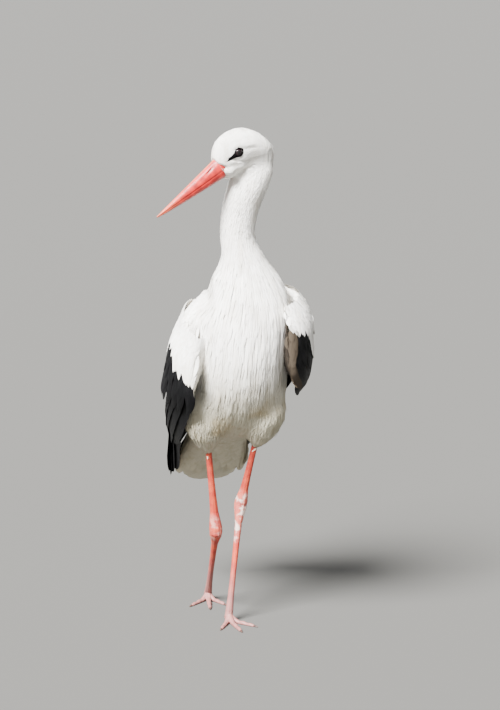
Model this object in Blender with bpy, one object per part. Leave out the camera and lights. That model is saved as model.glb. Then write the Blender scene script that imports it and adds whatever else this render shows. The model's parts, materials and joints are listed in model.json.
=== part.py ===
"""A white stork at life size, a still standing model with its head turned to its right.

Metres, +Z up. The bird faces -Y, so its left side is towards +X. Sizes along the body are
given as "forward" (towards -Y) and "height" above the floor. The origin is on the floor,
under the middle of the whole model.
"""

import math
from typing import NamedTuple

import bmesh
import bpy
import numpy as np
from mathutils import Matrix, Vector

# ---------------------------------------------------------------- driving dimensions
CUT = 0.0006  # gap left where the solids meet
CUT_U = 0.012  # the same gap as a step along the body's stations
BODY_SIDES = 22

HEEL_RADIUS = 0.0138
SHANK_RADIUS = 0.0064
TARSUS_RADIUS = 0.0062
FOOT_JOINT_HEIGHT = 0.017
PAD_FLAT = 0.0022  # depth cut off the toe pads where they press on the floor

BILL_LENGTH = 0.165
BILL_BASE_HALF_WIDTH = 0.0135
BILL_TOP, BILL_BOTTOM, MOUTH_LINE = 0.0205, -0.0205, -0.003
BILL_YAW, BILL_PITCH = math.radians(72), math.radians(32)
BILL_BASE = Vector((-0.040, -0.083, 0.966))

EYE_RADIUS = 0.0095
EYE_BACK, EYE_UP, EYE_OUT = 0.044, 0.0095, 0.0235
SOCKET_GAP = 0.0004



class WingPlan(NamedTuple):
    """How one wing hangs, in rows of (station along the body, value)."""

    side: str
    sign: int
    lift: tuple  # how far its lower edge stands off the flank
    low: tuple  # the angle of its lower edge round the body, in degrees from the back line


WINGS = (
    WingPlan(
        "left",
        1,
        ((5.6, 0.012), (6.5, 0.022), (7.5, 0.030), (8.7, 0.026), (9.4, 0.004), (11.0, 0.000)),
        ((7.5, 114), (8.6, 108), (10.0, 88), (12.0, 74), (14.0, 66)),
    ),
    WingPlan(
        "right",
        -1,
        ((6.4, -0.004), (7.5, 0.022), (8.6, 0.042), (9.8, 0.040), (11.2, 0.024), (13.0, 0.004)),
        ((7.5, 114), (9.5, 112), (11.0, 102), (12.0, 92), (14.0, 80)),
    ),
)


class Ring(NamedTuple):
    """One cross-section of the body, from its back line to its belly line."""

    back_forward: float
    back_height: float
    belly_forward: float
    belly_height: float
    half_width: float
    sideways: float


# Neck, trunk and tail in one run of sections, from inside the head to the tail's end.
BODY = (
    Ring(0.022, 0.990, 0.078, 0.976, 0.034, 0.042),
    Ring(0.014, 0.940, 0.086, 0.925, 0.040, 0.026),
    Ring(0.008, 0.885, 0.080, 0.872, 0.037, 0.010),
    Ring(0.011, 0.838, 0.080, 0.822, 0.035, 0.004),
    Ring(0.013, 0.795, 0.092, 0.775, 0.044, 0.014),
    Ring(0.006, 0.763, 0.116, 0.718, 0.070, 0.020),
    Ring(-0.016, 0.728, 0.136, 0.655, 0.092, 0.016),
    Ring(-0.054, 0.680, 0.140, 0.580, 0.096, 0.013),
    Ring(-0.096, 0.618, 0.118, 0.503, 0.100, 0.012),
    Ring(-0.140, 0.548, 0.066, 0.438, 0.103, 0.012),
    Ring(-0.180, 0.482, -0.008, 0.398, 0.095, 0.011),
    Ring(-0.212, 0.430, -0.088, 0.378, 0.076, 0.008),
    Ring(-0.244, 0.378, -0.184, 0.346, 0.066, 0.005),
    Ring(-0.286, 0.312, -0.258, 0.294, 0.076, 0.000),
    Ring(-0.328, 0.242, -0.316, 0.234, 0.072, -0.001),
)
# The folded wings lie on a fuller shape that keeps clear of the tail.
WING_BED = BODY[:10] + (
    Ring(-0.184, 0.486, -0.008, 0.398, 0.098, 0.011),
    Ring(-0.222, 0.438, -0.088, 0.376, 0.088, 0.008),
    Ring(-0.258, 0.388, -0.158, 0.332, 0.083, 0.005),
    Ring(-0.300, 0.330, -0.228, 0.284, 0.084, 0.002),
    Ring(-0.340, 0.270, -0.290, 0.238, 0.078, 0.000),
    Ring(-0.376, 0.210, -0.346, 0.192, 0.064, 0.000),
)
NECK_TOP, NECK_MID, NECK_BASE, TRUNK_END, TAIL_END = 0.0, 3.0, 5.0, 12.0, 14.0


class HeadRing(NamedTuple):
    """One cross-section of the head, at a distance behind the bill's base."""

    back: float
    top: float
    bottom: float
    half_width: float


HEAD = (
    HeadRing(0.000, 0.0265, -0.0215, 0.0150),
    HeadRing(0.010, 0.0390, -0.0270, 0.0205),
    HeadRing(0.026, 0.0490, -0.0310, 0.0265),
    HeadRing(0.048, 0.0520, -0.0340, 0.0310),
    HeadRing(0.072, 0.0475, -0.0410, 0.0335),
    HeadRing(0.094, 0.0345, -0.0520, 0.0330),
    HeadRing(0.110, 0.0130, -0.0560, 0.0270),
    HeadRing(0.119, -0.0120, -0.0500, 0.0170),
    HeadRing(0.1215, -0.0260, -0.0370, 0.0060),
)


class LegPlan(NamedTuple):
    """Where one leg's joints stand."""

    side: str
    hip: Vector
    heel: Vector
    foot: Vector
    toe_out: float
    bare: float  # bare shank, from the feather edge to the heel joint


LEGS = (
    LegPlan(
        "left",
        Vector((0.072, -0.040, 0.520)),
        Vector((0.024, 0.034, 0.250)),
        Vector((-0.004, 0.016, FOOT_JOINT_HEIGHT)),
        math.radians(9),
        0.142,
    ),
    LegPlan(
        "right",
        Vector((-0.066, -0.026, 0.520)),
        Vector((-0.027, 0.042, 0.190)),
        Vector((-0.020, 0.196, FOOT_JOINT_HEIGHT)),
        math.radians(-6),
        0.186,
    ),
)


class Toe(NamedTuple):
    """A toe's name, spread from straight ahead, length and radius where it starts."""

    name: str
    spread: float
    length: float
    radius: float


TOES = (
    Toe("inner", math.radians(-34), 0.058, 0.0056),
    Toe("middle", math.radians(0), 0.076, 0.0060),
    Toe("outer", math.radians(36), 0.064, 0.0056),
    Toe("hind", math.radians(176), 0.030, 0.0050),
)
CLAW_LENGTH = 0.0095


# ---------------------------------------------------------------- materials
def material(name, colour, roughness, metallic=0.0):
    """A plain Principled material."""
    made = bpy.data.materials.new(name)
    made.use_nodes = True
    shader = made.node_tree.nodes["Principled BSDF"]
    shader.inputs["Base Color"].default_value = (*colour, 1.0)
    shader.inputs["Roughness"].default_value = roughness
    shader.inputs["Metallic"].default_value = metallic
    return made


def clear_scene():
    """Removes whatever the scene starts with."""
    for thing in list(bpy.data.objects):
        bpy.data.objects.remove(thing)


# ---------------------------------------------------------------- mesh helpers
def finished(mesh_in_progress, name, finish, smooth_angle=50):
    """Turns a bmesh into a named object with outward faces."""
    bmesh.ops.recalc_face_normals(mesh_in_progress, faces=mesh_in_progress.faces)
    if mesh_in_progress.calc_volume(signed=True) < 0:
        bmesh.ops.reverse_faces(mesh_in_progress, faces=mesh_in_progress.faces)
    mesh = bpy.data.meshes.new(name)
    mesh_in_progress.to_mesh(mesh)
    mesh_in_progress.free()
    mesh.shade_smooth()
    mesh.set_sharp_from_angle(angle=math.radians(smooth_angle))
    made = bpy.data.objects.new(name, mesh)
    bpy.context.scene.collection.objects.link(made)
    if finish is not None:
        mesh.materials.append(finish)
    return made


def add_loft(mesh_in_progress, rings):
    """Bridges rings of points into one closed body and caps both ends."""
    loops = []
    for ring in rings:
        verts = [mesh_in_progress.verts.new(point) for point in ring]
        pairs = zip(verts, verts[1:] + verts[:1])
        loops.append([mesh_in_progress.edges.new(pair) for pair in pairs])
    for one, other in zip(loops, loops[1:]):
        bmesh.ops.bridge_loops(mesh_in_progress, edges=one + other)
    for end in (loops[0], loops[-1]):
        bmesh.ops.contextual_create(mesh_in_progress, geom=end)


def loft(name, rings, finish):
    """A closed body through rings of points, as an object."""
    mesh_in_progress = bmesh.new()
    add_loft(mesh_in_progress, rings)
    return finished(mesh_in_progress, name, finish)


def slab(name, inner, outer, across, along, finish):
    """A plate between two surfaces, each a function of two numbers from 0 to 1."""
    mesh_in_progress = bmesh.new()
    bmesh.ops.create_grid(
        mesh_in_progress, x_segments=across, y_segments=along, size=0.5
    )
    places = {v: (v.co.x + 0.5, v.co.y + 0.5) for v in mesh_in_progress.verts}
    upper = {}
    grown = bmesh.ops.extrude_face_region(
        mesh_in_progress, geom=list(mesh_in_progress.faces), use_keep_orig=True
    )
    for thing in grown["geom"]:
        if isinstance(thing, bmesh.types.BMVert):
            upper[thing] = (thing.co.x + 0.5, thing.co.y + 0.5)
    for vert, place in places.items():
        vert.co = inner(*place)
    for vert, place in upper.items():
        vert.co = outer(*place)
    return finished(mesh_in_progress, name, finish, smooth_angle=40)


def as_cutter(thing):
    """Hides a helper that only shapes other pieces."""
    thing.hide_render = True
    thing.display_type = "WIRE"
    return thing


def boolean(target, operation, other):
    """Adds an exact Boolean with another object."""
    step = target.modifiers.new(operation.lower(), "BOOLEAN")
    step.operation = operation
    step.solver = "EXACT"
    step.object = other
    return target


def smoothstep(low, high, value):
    """0 below low, 1 above high, and smooth between."""
    share = min(1.0, max(0.0, (value - low) / (high - low)))
    return share * share * (3 - 2 * share)


def spline(rows, place):
    """The row at a fractional place in a table, on a Catmull-Rom curve."""
    table = np.array(rows, float)
    last = len(table) - 1
    place = min(max(place, 0.0), float(last))
    step = min(int(place), last - 1)
    t = place - step
    before, start, end, after = (
        table[min(max(step + k, 0), last)] for k in (-1, 0, 1, 2)
    )
    bend = 2 * before - 5 * start + 4 * end - after
    turn = -before + 3 * start - 3 * end + after
    return 0.5 * (2 * start + (end - before) * t + bend * t * t + turn * t**3)


# ---------------------------------------------------------------- body surface
def body_point(rows, place, angle, swell=0.0, narrow=1.0):
    """A point on the body at a place along it and an angle round it, 0 on the back."""
    ring = Ring(*spline(rows, place))
    back = Vector((ring.sideways, -ring.back_forward, ring.back_height))
    belly = Vector((ring.sideways, -ring.belly_forward, ring.belly_height))
    arm = (back - belly) / 2
    reach = arm.length * narrow + swell
    width = ring.half_width * narrow + swell
    flank = math.sin(angle) * (1 - 0.05 * math.cos(angle))
    across = Vector((width * flank, 0, 0))
    return (back + belly) / 2 + arm.normalized() * reach * math.cos(angle) + across


def body_normal(rows, place, angle):
    """The outward direction there."""
    step = 0.02
    ahead = body_point(rows, place + step, angle) - body_point(rows, place - step, angle)
    round_it = body_point(rows, place, angle + step) - body_point(rows, place, angle - step)
    return ahead.cross(round_it).normalized() * -1


def body_rings(start, end, count, swell=0.0, rounded=0.0):
    """Rings between two places. A rounded end narrows over that many stations."""
    for k in range(count):
        place = start + (end - start) * k / (count - 1)
        narrow = 1.0
        if rounded and place > end - rounded:
            share = (place - end + rounded) / rounded
            narrow = math.sqrt(max(1 - share * share, 0.0)) * 0.88 + 0.12
        yield [
            body_point(BODY, place, 2 * math.pi * side / BODY_SIDES, swell, narrow)
            for side in range(BODY_SIDES)
        ]


def make_body(white):
    """Neck in two lengths, trunk and tail, parted by thin cuts."""
    upper = loft("neck_upper", body_rings(NECK_TOP, NECK_MID - CUT_U, 10), white)
    loft("neck_lower", body_rings(NECK_MID, NECK_BASE - CUT_U, 8), white)
    loft("trunk", body_rings(NECK_BASE, TRUNK_END - CUT_U, 17), white)
    loft("tail", body_rings(TRUNK_END, TAIL_END, 9, rounded=0.75), white)
    return upper


# ---------------------------------------------------------------- head and bill
def head_frame():
    """Head space to world: X is the bird's left, Y is back from the bill, Z is up."""
    turn = Matrix.Rotation(-BILL_YAW, 4, "Z") @ Matrix.Rotation(BILL_PITCH, 4, "X")
    return Matrix.Translation(BILL_BASE) @ turn


def head_rings(swell=0.0):
    """Cross-sections of the head from the bill's base to the nape."""
    frame = head_frame()
    sides, steps = 22, 13
    for k in range(steps):
        ring = HeadRing(*spline(HEAD, (len(HEAD) - 1) * k / (steps - 1)))
        middle, reach = (ring.top + ring.bottom) / 2, (ring.top - ring.bottom) / 2
        points = []
        for side in range(sides):
            angle = 2 * math.pi * side / sides
            fullness = 1 + 0.10 * math.cos(angle)
            points.append(
                frame
                @ Vector(
                    (
                        math.sin(angle) * (ring.half_width * fullness + swell),
                        ring.back + swell * (2 * k / (steps - 1) - 1),
                        middle + math.cos(angle) * (reach + swell),
                    )
                )
            )
        yield points


def bill_rings(edge, mouth):
    """Sections of one mandible from the mouth line to its edge, a function of the share
    of the way to the tip."""
    frame = head_frame()
    steps, arch = 12, 9
    for k in range(steps):
        share = k / (steps - 1)
        ahead = -CUT - BILL_LENGTH * share
        width = BILL_BASE_HALF_WIDTH * (1 - share) ** 0.86 + 0.0009
        points = []
        for side in range(arch):
            angle = math.pi * side / (arch - 1)
            lift = math.sin(angle) ** 0.8
            points.append((math.cos(angle) * width, lift))
        depth = edge(share) - mouth
        yield [frame @ Vector((x, ahead, mouth + depth * z)) for x, z in points]


def make_bill(red):
    """Upper and lower mandibles, meeting along the mouth line."""
    blunt = 0.0012

    def ridge(share):
        return MOUTH_LINE + blunt + (BILL_TOP - MOUTH_LINE) * (1 - share)

    def keel(share):
        return MOUTH_LINE - blunt - (MOUTH_LINE - BILL_BOTTOM) * (1 - share) ** 0.75

    loft("bill_upper", bill_rings(ridge, MOUTH_LINE + CUT / 2), red)
    loft("bill_lower", bill_rings(keel, MOUTH_LINE - CUT / 2), red)


def ball(name, centre, radius, finish):
    """A round ball."""
    mesh_in_progress = bmesh.new()
    bmesh.ops.create_uvsphere(
        mesh_in_progress, u_segments=12, v_segments=8, radius=radius
    )
    bmesh.ops.translate(mesh_in_progress, verts=mesh_in_progress.verts, vec=centre)
    return finished(mesh_in_progress, name, finish)


def make_head(white, dark, neck_top):
    """Head with two eye sockets, the eyes in them, and the neck cut to fit under it."""
    head = loft("head", head_rings(), white)
    for side, sign in (("left", 1), ("right", -1)):
        centre = head_frame() @ Vector((sign * EYE_OUT, EYE_BACK, EYE_UP))
        ball(f"eye_{side}", centre, EYE_RADIUS, dark)
        socket = ball(f"socket_{side}", centre, EYE_RADIUS + SOCKET_GAP, None)
        boolean(head, "DIFFERENCE", as_cutter(socket))
    boolean(neck_top, "DIFFERENCE", as_cutter(loft("head_cutter", head_rings(CUT), None)))


# ---------------------------------------------------------------- wings
def eased(rows, place):
    """Reads rows of (station, value), with the corners between them rounded."""
    around = np.linspace(place - 0.6, place + 0.6, 7)
    return float(np.interp(around, *zip(*rows)).mean())


def feather_ends(share, feathers, length):
    """The scalloped reach of a row of feathers across the wing."""
    return length * abs(math.sin(math.pi * feathers * share))


class FoldedWing:
    """White arm and coverts over black secondaries over black primaries.

    A layer's region gives the station and angle for a place across and along it, and its
    depth gives the heights of its two faces above the wing bed.
    """

    UNDER = 0.0022  # clearance between the bed and the first layer
    LAYER = 0.0095  # from one layer's inner face to the next one's
    VANE = 0.0045  # thickness of a layer of flight feathers
    ARM_DEPTH = 0.021  # how much the wing's arm stands up from the coverts
    COVERT_START, SECONDARY_START, PRIMARY_START = 5.9, 7.9, 10.9
    COVERT_END, SECONDARY_END, PRIMARY_END = 8.15, 10.7, 14.0
    PRIMARY_SPREAD = math.radians(31)
    INSET = math.radians(4)  # how far flight feathers stay inside the coverts' lower edge

    def __init__(self, plan):
        self.plan = plan

    def low_edge(self, place):
        """The angle of the wing's lower edge."""
        return math.radians(eased(self.plan.low, place))

    def high_edge(self, place):
        """The angle of its upper edge, which nears the back line towards the rump."""
        return math.radians(24) - math.radians(17) * smoothstep(6.4, 9.5, place)

    def standing_off(self, place, angle):
        """How far the wing is held away from the flank there."""
        lift = eased(self.plan.lift, place)
        return lift * smoothstep(math.radians(26), math.radians(108), angle)

    def covert_region(self, across, along):
        """From a rounded front over the wrist to scalloped ends, longest on the back."""
        front = self.COVERT_START + 1.05 * (2 * across - 1) ** 2 + 0.15 * across
        rear = self.COVERT_END + 2.5 * across**0.8 + feather_ends(across, 5, 0.16)
        place = front + (rear - front) * along
        low, high = self.low_edge(place), self.high_edge(place)
        return place, low + (high - low) * across

    def covert_depth(self, place, angle):
        """Thick over the arm at the front, thin at the feather ends and edges."""
        low, high = self.low_edge(place), self.high_edge(place)
        from_middle = 2 * (low - angle) / (low - high) - 1
        edge_taper = math.sqrt(max(1 - from_middle**4, 0.0))
        arm = self.ARM_DEPTH * (1 - smoothstep(5.7, 9.6, place)) * smoothstep(5.6, 6.7, place)
        base = self.UNDER + self.LAYER * smoothstep(6.6, 7.6, place)
        base += self.standing_off(place, angle)
        return base, base + self.VANE + (arm + 0.004) * edge_taper

    def secondary_region(self, across, along):
        """From under the coverts to a rounded end that is longest at the inner feathers."""
        reach = 1.9 * math.sin(math.pi * (0.15 + 0.6 * across))
        rear = self.SECONDARY_END + reach + feather_ends(across, 6, 0.20)
        place = self.SECONDARY_START + (rear - self.SECONDARY_START) * along
        low = self.low_edge(place) - self.INSET
        high = self.high_edge(place) + self.INSET / 2
        return place, low + (high - low) * across

    def secondary_depth(self, place, angle):
        """A thin layer that rises over the primaries."""
        rise = self.LAYER * 0.25 * smoothstep(9.6, 10.8, place)
        base = self.UNDER + rise + self.standing_off(place, angle)
        return base, base + self.VANE

    def primary_region(self, across, along):
        """A narrow blade to the wing's tip."""
        tip = self.PRIMARY_END - abs(2 * across - 0.9) ** 1.5 + feather_ends(across, 4, 0.22)
        place = self.PRIMARY_START + (tip - self.PRIMARY_START) * along
        half_width = self.PRIMARY_SPREAD * (1 - 0.45 * smoothstep(11, 14.2, place))
        angle = self.low_edge(place) - self.INSET - half_width
        return place, angle + half_width * (1 - 2 * across)

    def primary_depth(self, place, angle):
        """The thinnest layer, next to the tail."""
        base = self.UNDER * 0.4 + self.standing_off(place, angle)
        return base, base + self.VANE * 0.4

    def layer(self, name, region, depth, finish, across, along):
        """One plate of the wing, as an object."""

        def face(which):
            def at(share_across, share_along):
                place, angle = region(share_across, share_along)
                turned = self.plan.sign * angle
                outward = body_normal(WING_BED, place, turned)
                height = depth(place, angle)[which]
                return body_point(WING_BED, place, turned) + outward * height

            return at

        full_name = f"wing_{self.plan.side}_{name}"
        slab(full_name, face(0), face(1), across, along, finish)

    def build(self, white, black):
        """All three layers."""
        self.layer("coverts", self.covert_region, self.covert_depth, white, 20, 9)
        self.layer("secondaries", self.secondary_region, self.secondary_depth, black, 18, 7)
        self.layer("primaries", self.primary_region, self.primary_depth, black, 12, 6)


# ---------------------------------------------------------------- legs and feet
def limb_rings(stations, sides=10, first_run=None, last_run=None):
    """Rings along a limb. Each station is a point, its half width and its half depth.

    first_run and last_run turn the two end rings, where the limb meets its neighbour.
    """
    points = [point for point, _, _ in stations]
    for k, (point, half_width, half_depth) in enumerate(stations):
        run = points[min(k + 1, len(points) - 1)] - points[max(k - 1, 0)]
        if k == 0 and first_run:
            run = first_run
        if k == len(points) - 1 and last_run:
            run = last_run
        fore = run.cross(Vector((1, 0, 0))).normalized()
        side = fore.cross(run).normalized()
        yield [
            point
            + side * half_width * math.cos(2 * math.pi * n / sides)
            + fore * half_depth * math.sin(2 * math.pi * n / sides)
            for n in range(sides)
        ]


def spaced(start, end, table):
    """Stations from rows of (share of the way, half width, half depth)."""
    return [(start.lerp(end, share), width, depth) for share, width, depth in table]


def make_leg(plan, white, red, trunk_cutter):
    """Feathered thigh, bare shank, tarsus and foot of one leg."""
    along = (plan.heel - plan.hip).normalized()
    bend = (along + (plan.foot - plan.heel).normalized()).normalized()
    feather_edge = plan.heel - along * plan.bare
    thigh_shape = (
        (0.00, 0.010, 0.012),
        (0.10, 0.028, 0.034),
        (0.28, 0.043, 0.052),
        (0.50, 0.047, 0.055),
        (0.72, 0.039, 0.045),
        (0.88, 0.028, 0.032),
        (1.00, 0.013, 0.014),
    )
    thigh = loft(
        f"thigh_{plan.side}",
        limb_rings(spaced(plan.hip, feather_edge - along * CUT, thigh_shape), 16),
        white,
    )
    boolean(thigh, "DIFFERENCE", trunk_cutter)
    shank_shape = (
        (0.00, SHANK_RADIUS, SHANK_RADIUS * 1.10),
        (0.30, SHANK_RADIUS * 1.05, SHANK_RADIUS * 1.05),
        (0.55, SHANK_RADIUS * 1.18, SHANK_RADIUS * 1.12),
        (0.75, SHANK_RADIUS * 1.38, SHANK_RADIUS * 1.30),
        (0.87, HEEL_RADIUS * 0.86, HEEL_RADIUS * 0.84),
        (0.95, HEEL_RADIUS, HEEL_RADIUS * 0.98),
        (1.00, HEEL_RADIUS * 0.98, HEEL_RADIUS),
    )
    shank = loft(
        f"shank_{plan.side}",
        limb_rings(
            spaced(feather_edge, plan.heel - bend * CUT / 2, shank_shape), last_run=bend
        ),
        red,
    )
    boolean(shank, "DIFFERENCE", trunk_cutter)
    tarsus_shape = (
        (0.00, HEEL_RADIUS * 0.98, HEEL_RADIUS),
        (0.04, HEEL_RADIUS * 0.95, HEEL_RADIUS * 0.94),
        (0.10, HEEL_RADIUS * 0.74, HEEL_RADIUS * 0.80),
        (0.18, TARSUS_RADIUS * 1.20, TARSUS_RADIUS * 1.38),
        (0.35, TARSUS_RADIUS * 1.03, TARSUS_RADIUS * 1.15),
        (0.65, TARSUS_RADIUS * 0.94, TARSUS_RADIUS * 1.04),
        (0.88, TARSUS_RADIUS * 1.10, TARSUS_RADIUS * 1.10),
        (1.00, TARSUS_RADIUS * 1.35, TARSUS_RADIUS * 1.22),
    )
    top, foot_end = plan.heel + bend * CUT / 2, plan.heel.lerp(plan.foot, 0.97)
    tarsus = limb_rings(spaced(top, foot_end, tarsus_shape), first_run=bend)
    loft(f"tarsus_{plan.side}", tarsus, red)
    return foot_end


def toe_stations(plan, toe):
    """A toe from inside the foot's joint to its claw, swelling at each joint."""
    turn = toe.spread * (1 if plan.side == "left" else -1) + plan.toe_out
    ahead = Vector((math.sin(turn), -math.cos(turn), 0))
    root = Vector((plan.foot.x, plan.foot.y, 0))
    steps = 8
    for k in range(steps):
        share = k / (steps - 1)
        swell = 1 + 0.10 * math.cos(math.pi * k)
        radius = toe.radius * (1 - 0.42 * share) * swell
        droop = (FOOT_JOINT_HEIGHT - 0.004) * (1 - smoothstep(0.0, 0.34, share))
        height = radius * 0.96 - PAD_FLAT * 0.5 + droop
        yield (root + ahead * toe.length * share + Vector((0, 0, height)), radius, radius * 0.96)


def toe_rings(stations, sides=8):
    """Rings of an upright section, with the part under the floor pressed flat."""
    points = [point for point, _, _ in stations]
    for k, (point, half_width, half_height) in enumerate(stations):
        run = points[min(k + 1, len(points) - 1)] - points[max(k - 1, 0)]
        side = Vector((run.y, -run.x, 0)).normalized()
        ring = []
        for n in range(sides):
            angle = 2 * math.pi * (n + 0.5) / sides
            place = point + side * half_width * math.cos(angle)
            place.z = max(place.z + half_height * math.sin(angle), 0.0)
            ring.append(place)
        yield ring


def make_foot(plan, tarsus_end, red, horn):
    """Four toes joined at the foot's joint, and a flat nail-like claw on each."""
    along = (plan.foot - plan.heel).normalized()
    knuckle_shape = (
        (0.0, TARSUS_RADIUS * 1.30, TARSUS_RADIUS * 1.2),
        (0.4, 0.0086, 0.0078),
        (0.8, 0.0092, 0.0086),
        (1.0, 0.0050, 0.0050),
    )
    low = tarsus_end + along * 0.016
    low.z = max(low.z, 0.0066)
    knuckle = spaced(tarsus_end + along * CUT, low, knuckle_shape)
    foot = loft(f"foot_{plan.side}", limb_rings(knuckle), red)
    for toe in TOES:
        stations = list(toe_stations(plan, toe))
        toe_body = loft(f"toe_{plan.side}_{toe.name}", toe_rings(stations), None)
        boolean(foot, "UNION", as_cutter(toe_body))
        make_claw(plan, toe, stations, horn)
    clearance = box_over(tarsus_end + along * CUT, along)
    boolean(foot, "DIFFERENCE", as_cutter(clearance))


def box_over(point, along):
    """A cutter that clears everything on the near side of a point along a direction."""
    mesh_in_progress = bmesh.new()
    size = 0.04
    bmesh.ops.create_cube(mesh_in_progress, size=size)
    turn = along.to_track_quat("Z", "X").to_matrix().to_4x4()
    place = Matrix.Translation(point - along * size / 2) @ turn
    bmesh.ops.transform(mesh_in_progress, matrix=place, verts=mesh_in_progress.verts)
    return finished(mesh_in_progress, "ankle_cutter", None)


def make_claw(plan, toe, stations, horn):
    """A short, blunt claw that clears the floor."""
    end, half_width, _ = stations[-1]
    ahead = (end - stations[-2][0]).normalized()
    ahead.z = 0
    shape = ((0.0, 0.86, 0.80), (0.6, 0.72, 0.62), (1.0, 0.26, 0.24))
    rows = []
    for share, width, height in shape:
        place = end + ahead * (CUT + CLAW_LENGTH * share)
        place.z = end.z + 0.0004 - 0.0010 * share
        rows.append((place, half_width * width, half_width * height))
    loft(f"claw_{plan.side}_{toe.name}", toe_rings(rows), horn)


# ---------------------------------------------------------------- whole bird
def centre_over_origin():
    """Moves everything so that the model's box is centred over the origin."""
    bpy.context.view_layer.update()
    graph = bpy.context.evaluated_depsgraph_get()
    corners = []
    for thing in bpy.context.scene.objects:
        if not thing.hide_render:
            corners += [Vector(c) for c in thing.evaluated_get(graph).bound_box]
    low = Vector(map(min, zip(*corners)))
    high = Vector(map(max, zip(*corners)))
    shift = Vector((-(low.x + high.x) / 2, -(low.y + high.y) / 2, 0))
    for thing in bpy.context.scene.objects:
        thing.data.transform(Matrix.Translation(shift))


def main():
    """Builds the whole bird."""
    clear_scene()
    white = material("white_plumage", (0.83, 0.81, 0.77), 0.85)
    black = material("black_flight_feathers", (0.018, 0.017, 0.020), 0.45)
    bill_red = material("red_bill", (0.66, 0.10, 0.07), 0.42)
    leg_red = material("red_leg_skin", (0.62, 0.13, 0.07), 0.6)
    dark = material("dark_eye", (0.012, 0.009, 0.008), 0.08)
    horn = material("claw_horn", (0.10, 0.06, 0.05), 0.5)
    neck_top = make_body(white)
    make_head(white, dark, neck_top)
    make_bill(bill_red)
    for plan in WINGS:
        FoldedWing(plan).build(white, black)
    trunk_rings = body_rings(NECK_BASE, TRUNK_END, 17, swell=CUT * 1.6)
    trunk_cutter = as_cutter(loft("trunk_cutter", trunk_rings, None))
    for plan in LEGS:
        tarsus_end = make_leg(plan, white, leg_red, trunk_cutter)
        make_foot(plan, tarsus_end, leg_red, horn)
    centre_over_origin()


main()
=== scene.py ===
"""A white stork at life size: one skin under a coat of solid feather vanes, with bill, eyes,
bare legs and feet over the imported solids.

Metres, +Z up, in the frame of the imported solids. The bird faces -Y, so its left side is
towards +X, and its head is turned to its right. The sections along the body and the rows of
the wings repeat the named stations of the solids' source.
"""

import json
import logging
import math
from collections.abc import Callable, Iterable
from dataclasses import dataclass, field
from enum import Enum

import bmesh
import bpy
import numpy as np
from mathutils import Matrix, Vector
from mathutils.bvhtree import BVHTree
from mathutils.kdtree import KDTree
from mathutils.noise import noise as stream

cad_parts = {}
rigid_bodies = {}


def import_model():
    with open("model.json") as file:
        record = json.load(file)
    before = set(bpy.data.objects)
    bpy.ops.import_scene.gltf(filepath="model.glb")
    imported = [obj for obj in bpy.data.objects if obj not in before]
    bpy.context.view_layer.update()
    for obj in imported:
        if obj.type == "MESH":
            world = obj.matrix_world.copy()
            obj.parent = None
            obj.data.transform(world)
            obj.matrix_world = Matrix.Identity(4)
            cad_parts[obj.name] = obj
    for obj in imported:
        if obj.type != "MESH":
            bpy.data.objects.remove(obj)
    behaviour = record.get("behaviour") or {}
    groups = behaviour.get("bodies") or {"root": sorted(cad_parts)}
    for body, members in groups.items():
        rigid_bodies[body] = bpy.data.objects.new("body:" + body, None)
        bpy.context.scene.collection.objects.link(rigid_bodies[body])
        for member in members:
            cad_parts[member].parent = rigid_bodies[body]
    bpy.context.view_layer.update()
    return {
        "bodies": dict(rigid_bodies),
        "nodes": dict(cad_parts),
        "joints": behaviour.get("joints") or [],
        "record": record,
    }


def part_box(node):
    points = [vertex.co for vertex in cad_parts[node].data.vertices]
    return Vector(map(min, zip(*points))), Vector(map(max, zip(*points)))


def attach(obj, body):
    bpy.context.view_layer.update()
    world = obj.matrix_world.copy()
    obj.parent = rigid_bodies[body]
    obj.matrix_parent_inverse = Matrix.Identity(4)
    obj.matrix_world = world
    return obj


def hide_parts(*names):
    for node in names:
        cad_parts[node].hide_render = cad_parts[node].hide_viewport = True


Array, Chance = np.ndarray, np.random.Generator
Material, Mesh, Object = bpy.types.Material, bpy.types.Mesh, bpy.types.Object
Socket = bpy.types.NodeSocket

log = logging.getLogger("stork")

SEED = 20
SIDES = (("left", 1), ("right", -1))
BAKE_MAP, VANE_MAP = "OFBake", "vane"
BAKE_PATCH = 0.003  # side of a feather's patch on the skin's unwrap

# Head space: X is the bird's left, Y is back from the bill's base, Z is up.
BILL_BASE = Vector((-0.040, -0.083, 0.966))
BILL_YAW, BILL_PITCH = math.radians(72), math.radians(32)
BILL_LENGTH, BILL_HALF_WIDTH = 0.165, 0.0135
BILL_TOP, BILL_BOTTOM, MOUTH_LINE = 0.0205, -0.0205, -0.003
EYE_OUT, EYE_BACK, EYE_UP, EYE_RADIUS = 0.0235, 0.044, 0.0095, 0.0095
LOOK_BACK, LOOK_UP = EYE_BACK, EYE_UP + 0.003  # where the lids open
# The feathers' front edge on the face, (height, distance back), and the gape's corner.
FACE_EDGE = (
    (-0.020, 0.0045), (-0.0066, 0.0008), (-0.0004, 0.0088), (0.0026, 0.0073), (0.0153, -0.0005)
)
# How far the plain head is off at angles round its side, from straight back.
HEAD_FIT = ((-95, 0.0), (-61, 0.0045), (-47, 0.0065), (-33, -0.0053), (-22, -0.0028), (5, 0.0))

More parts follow.
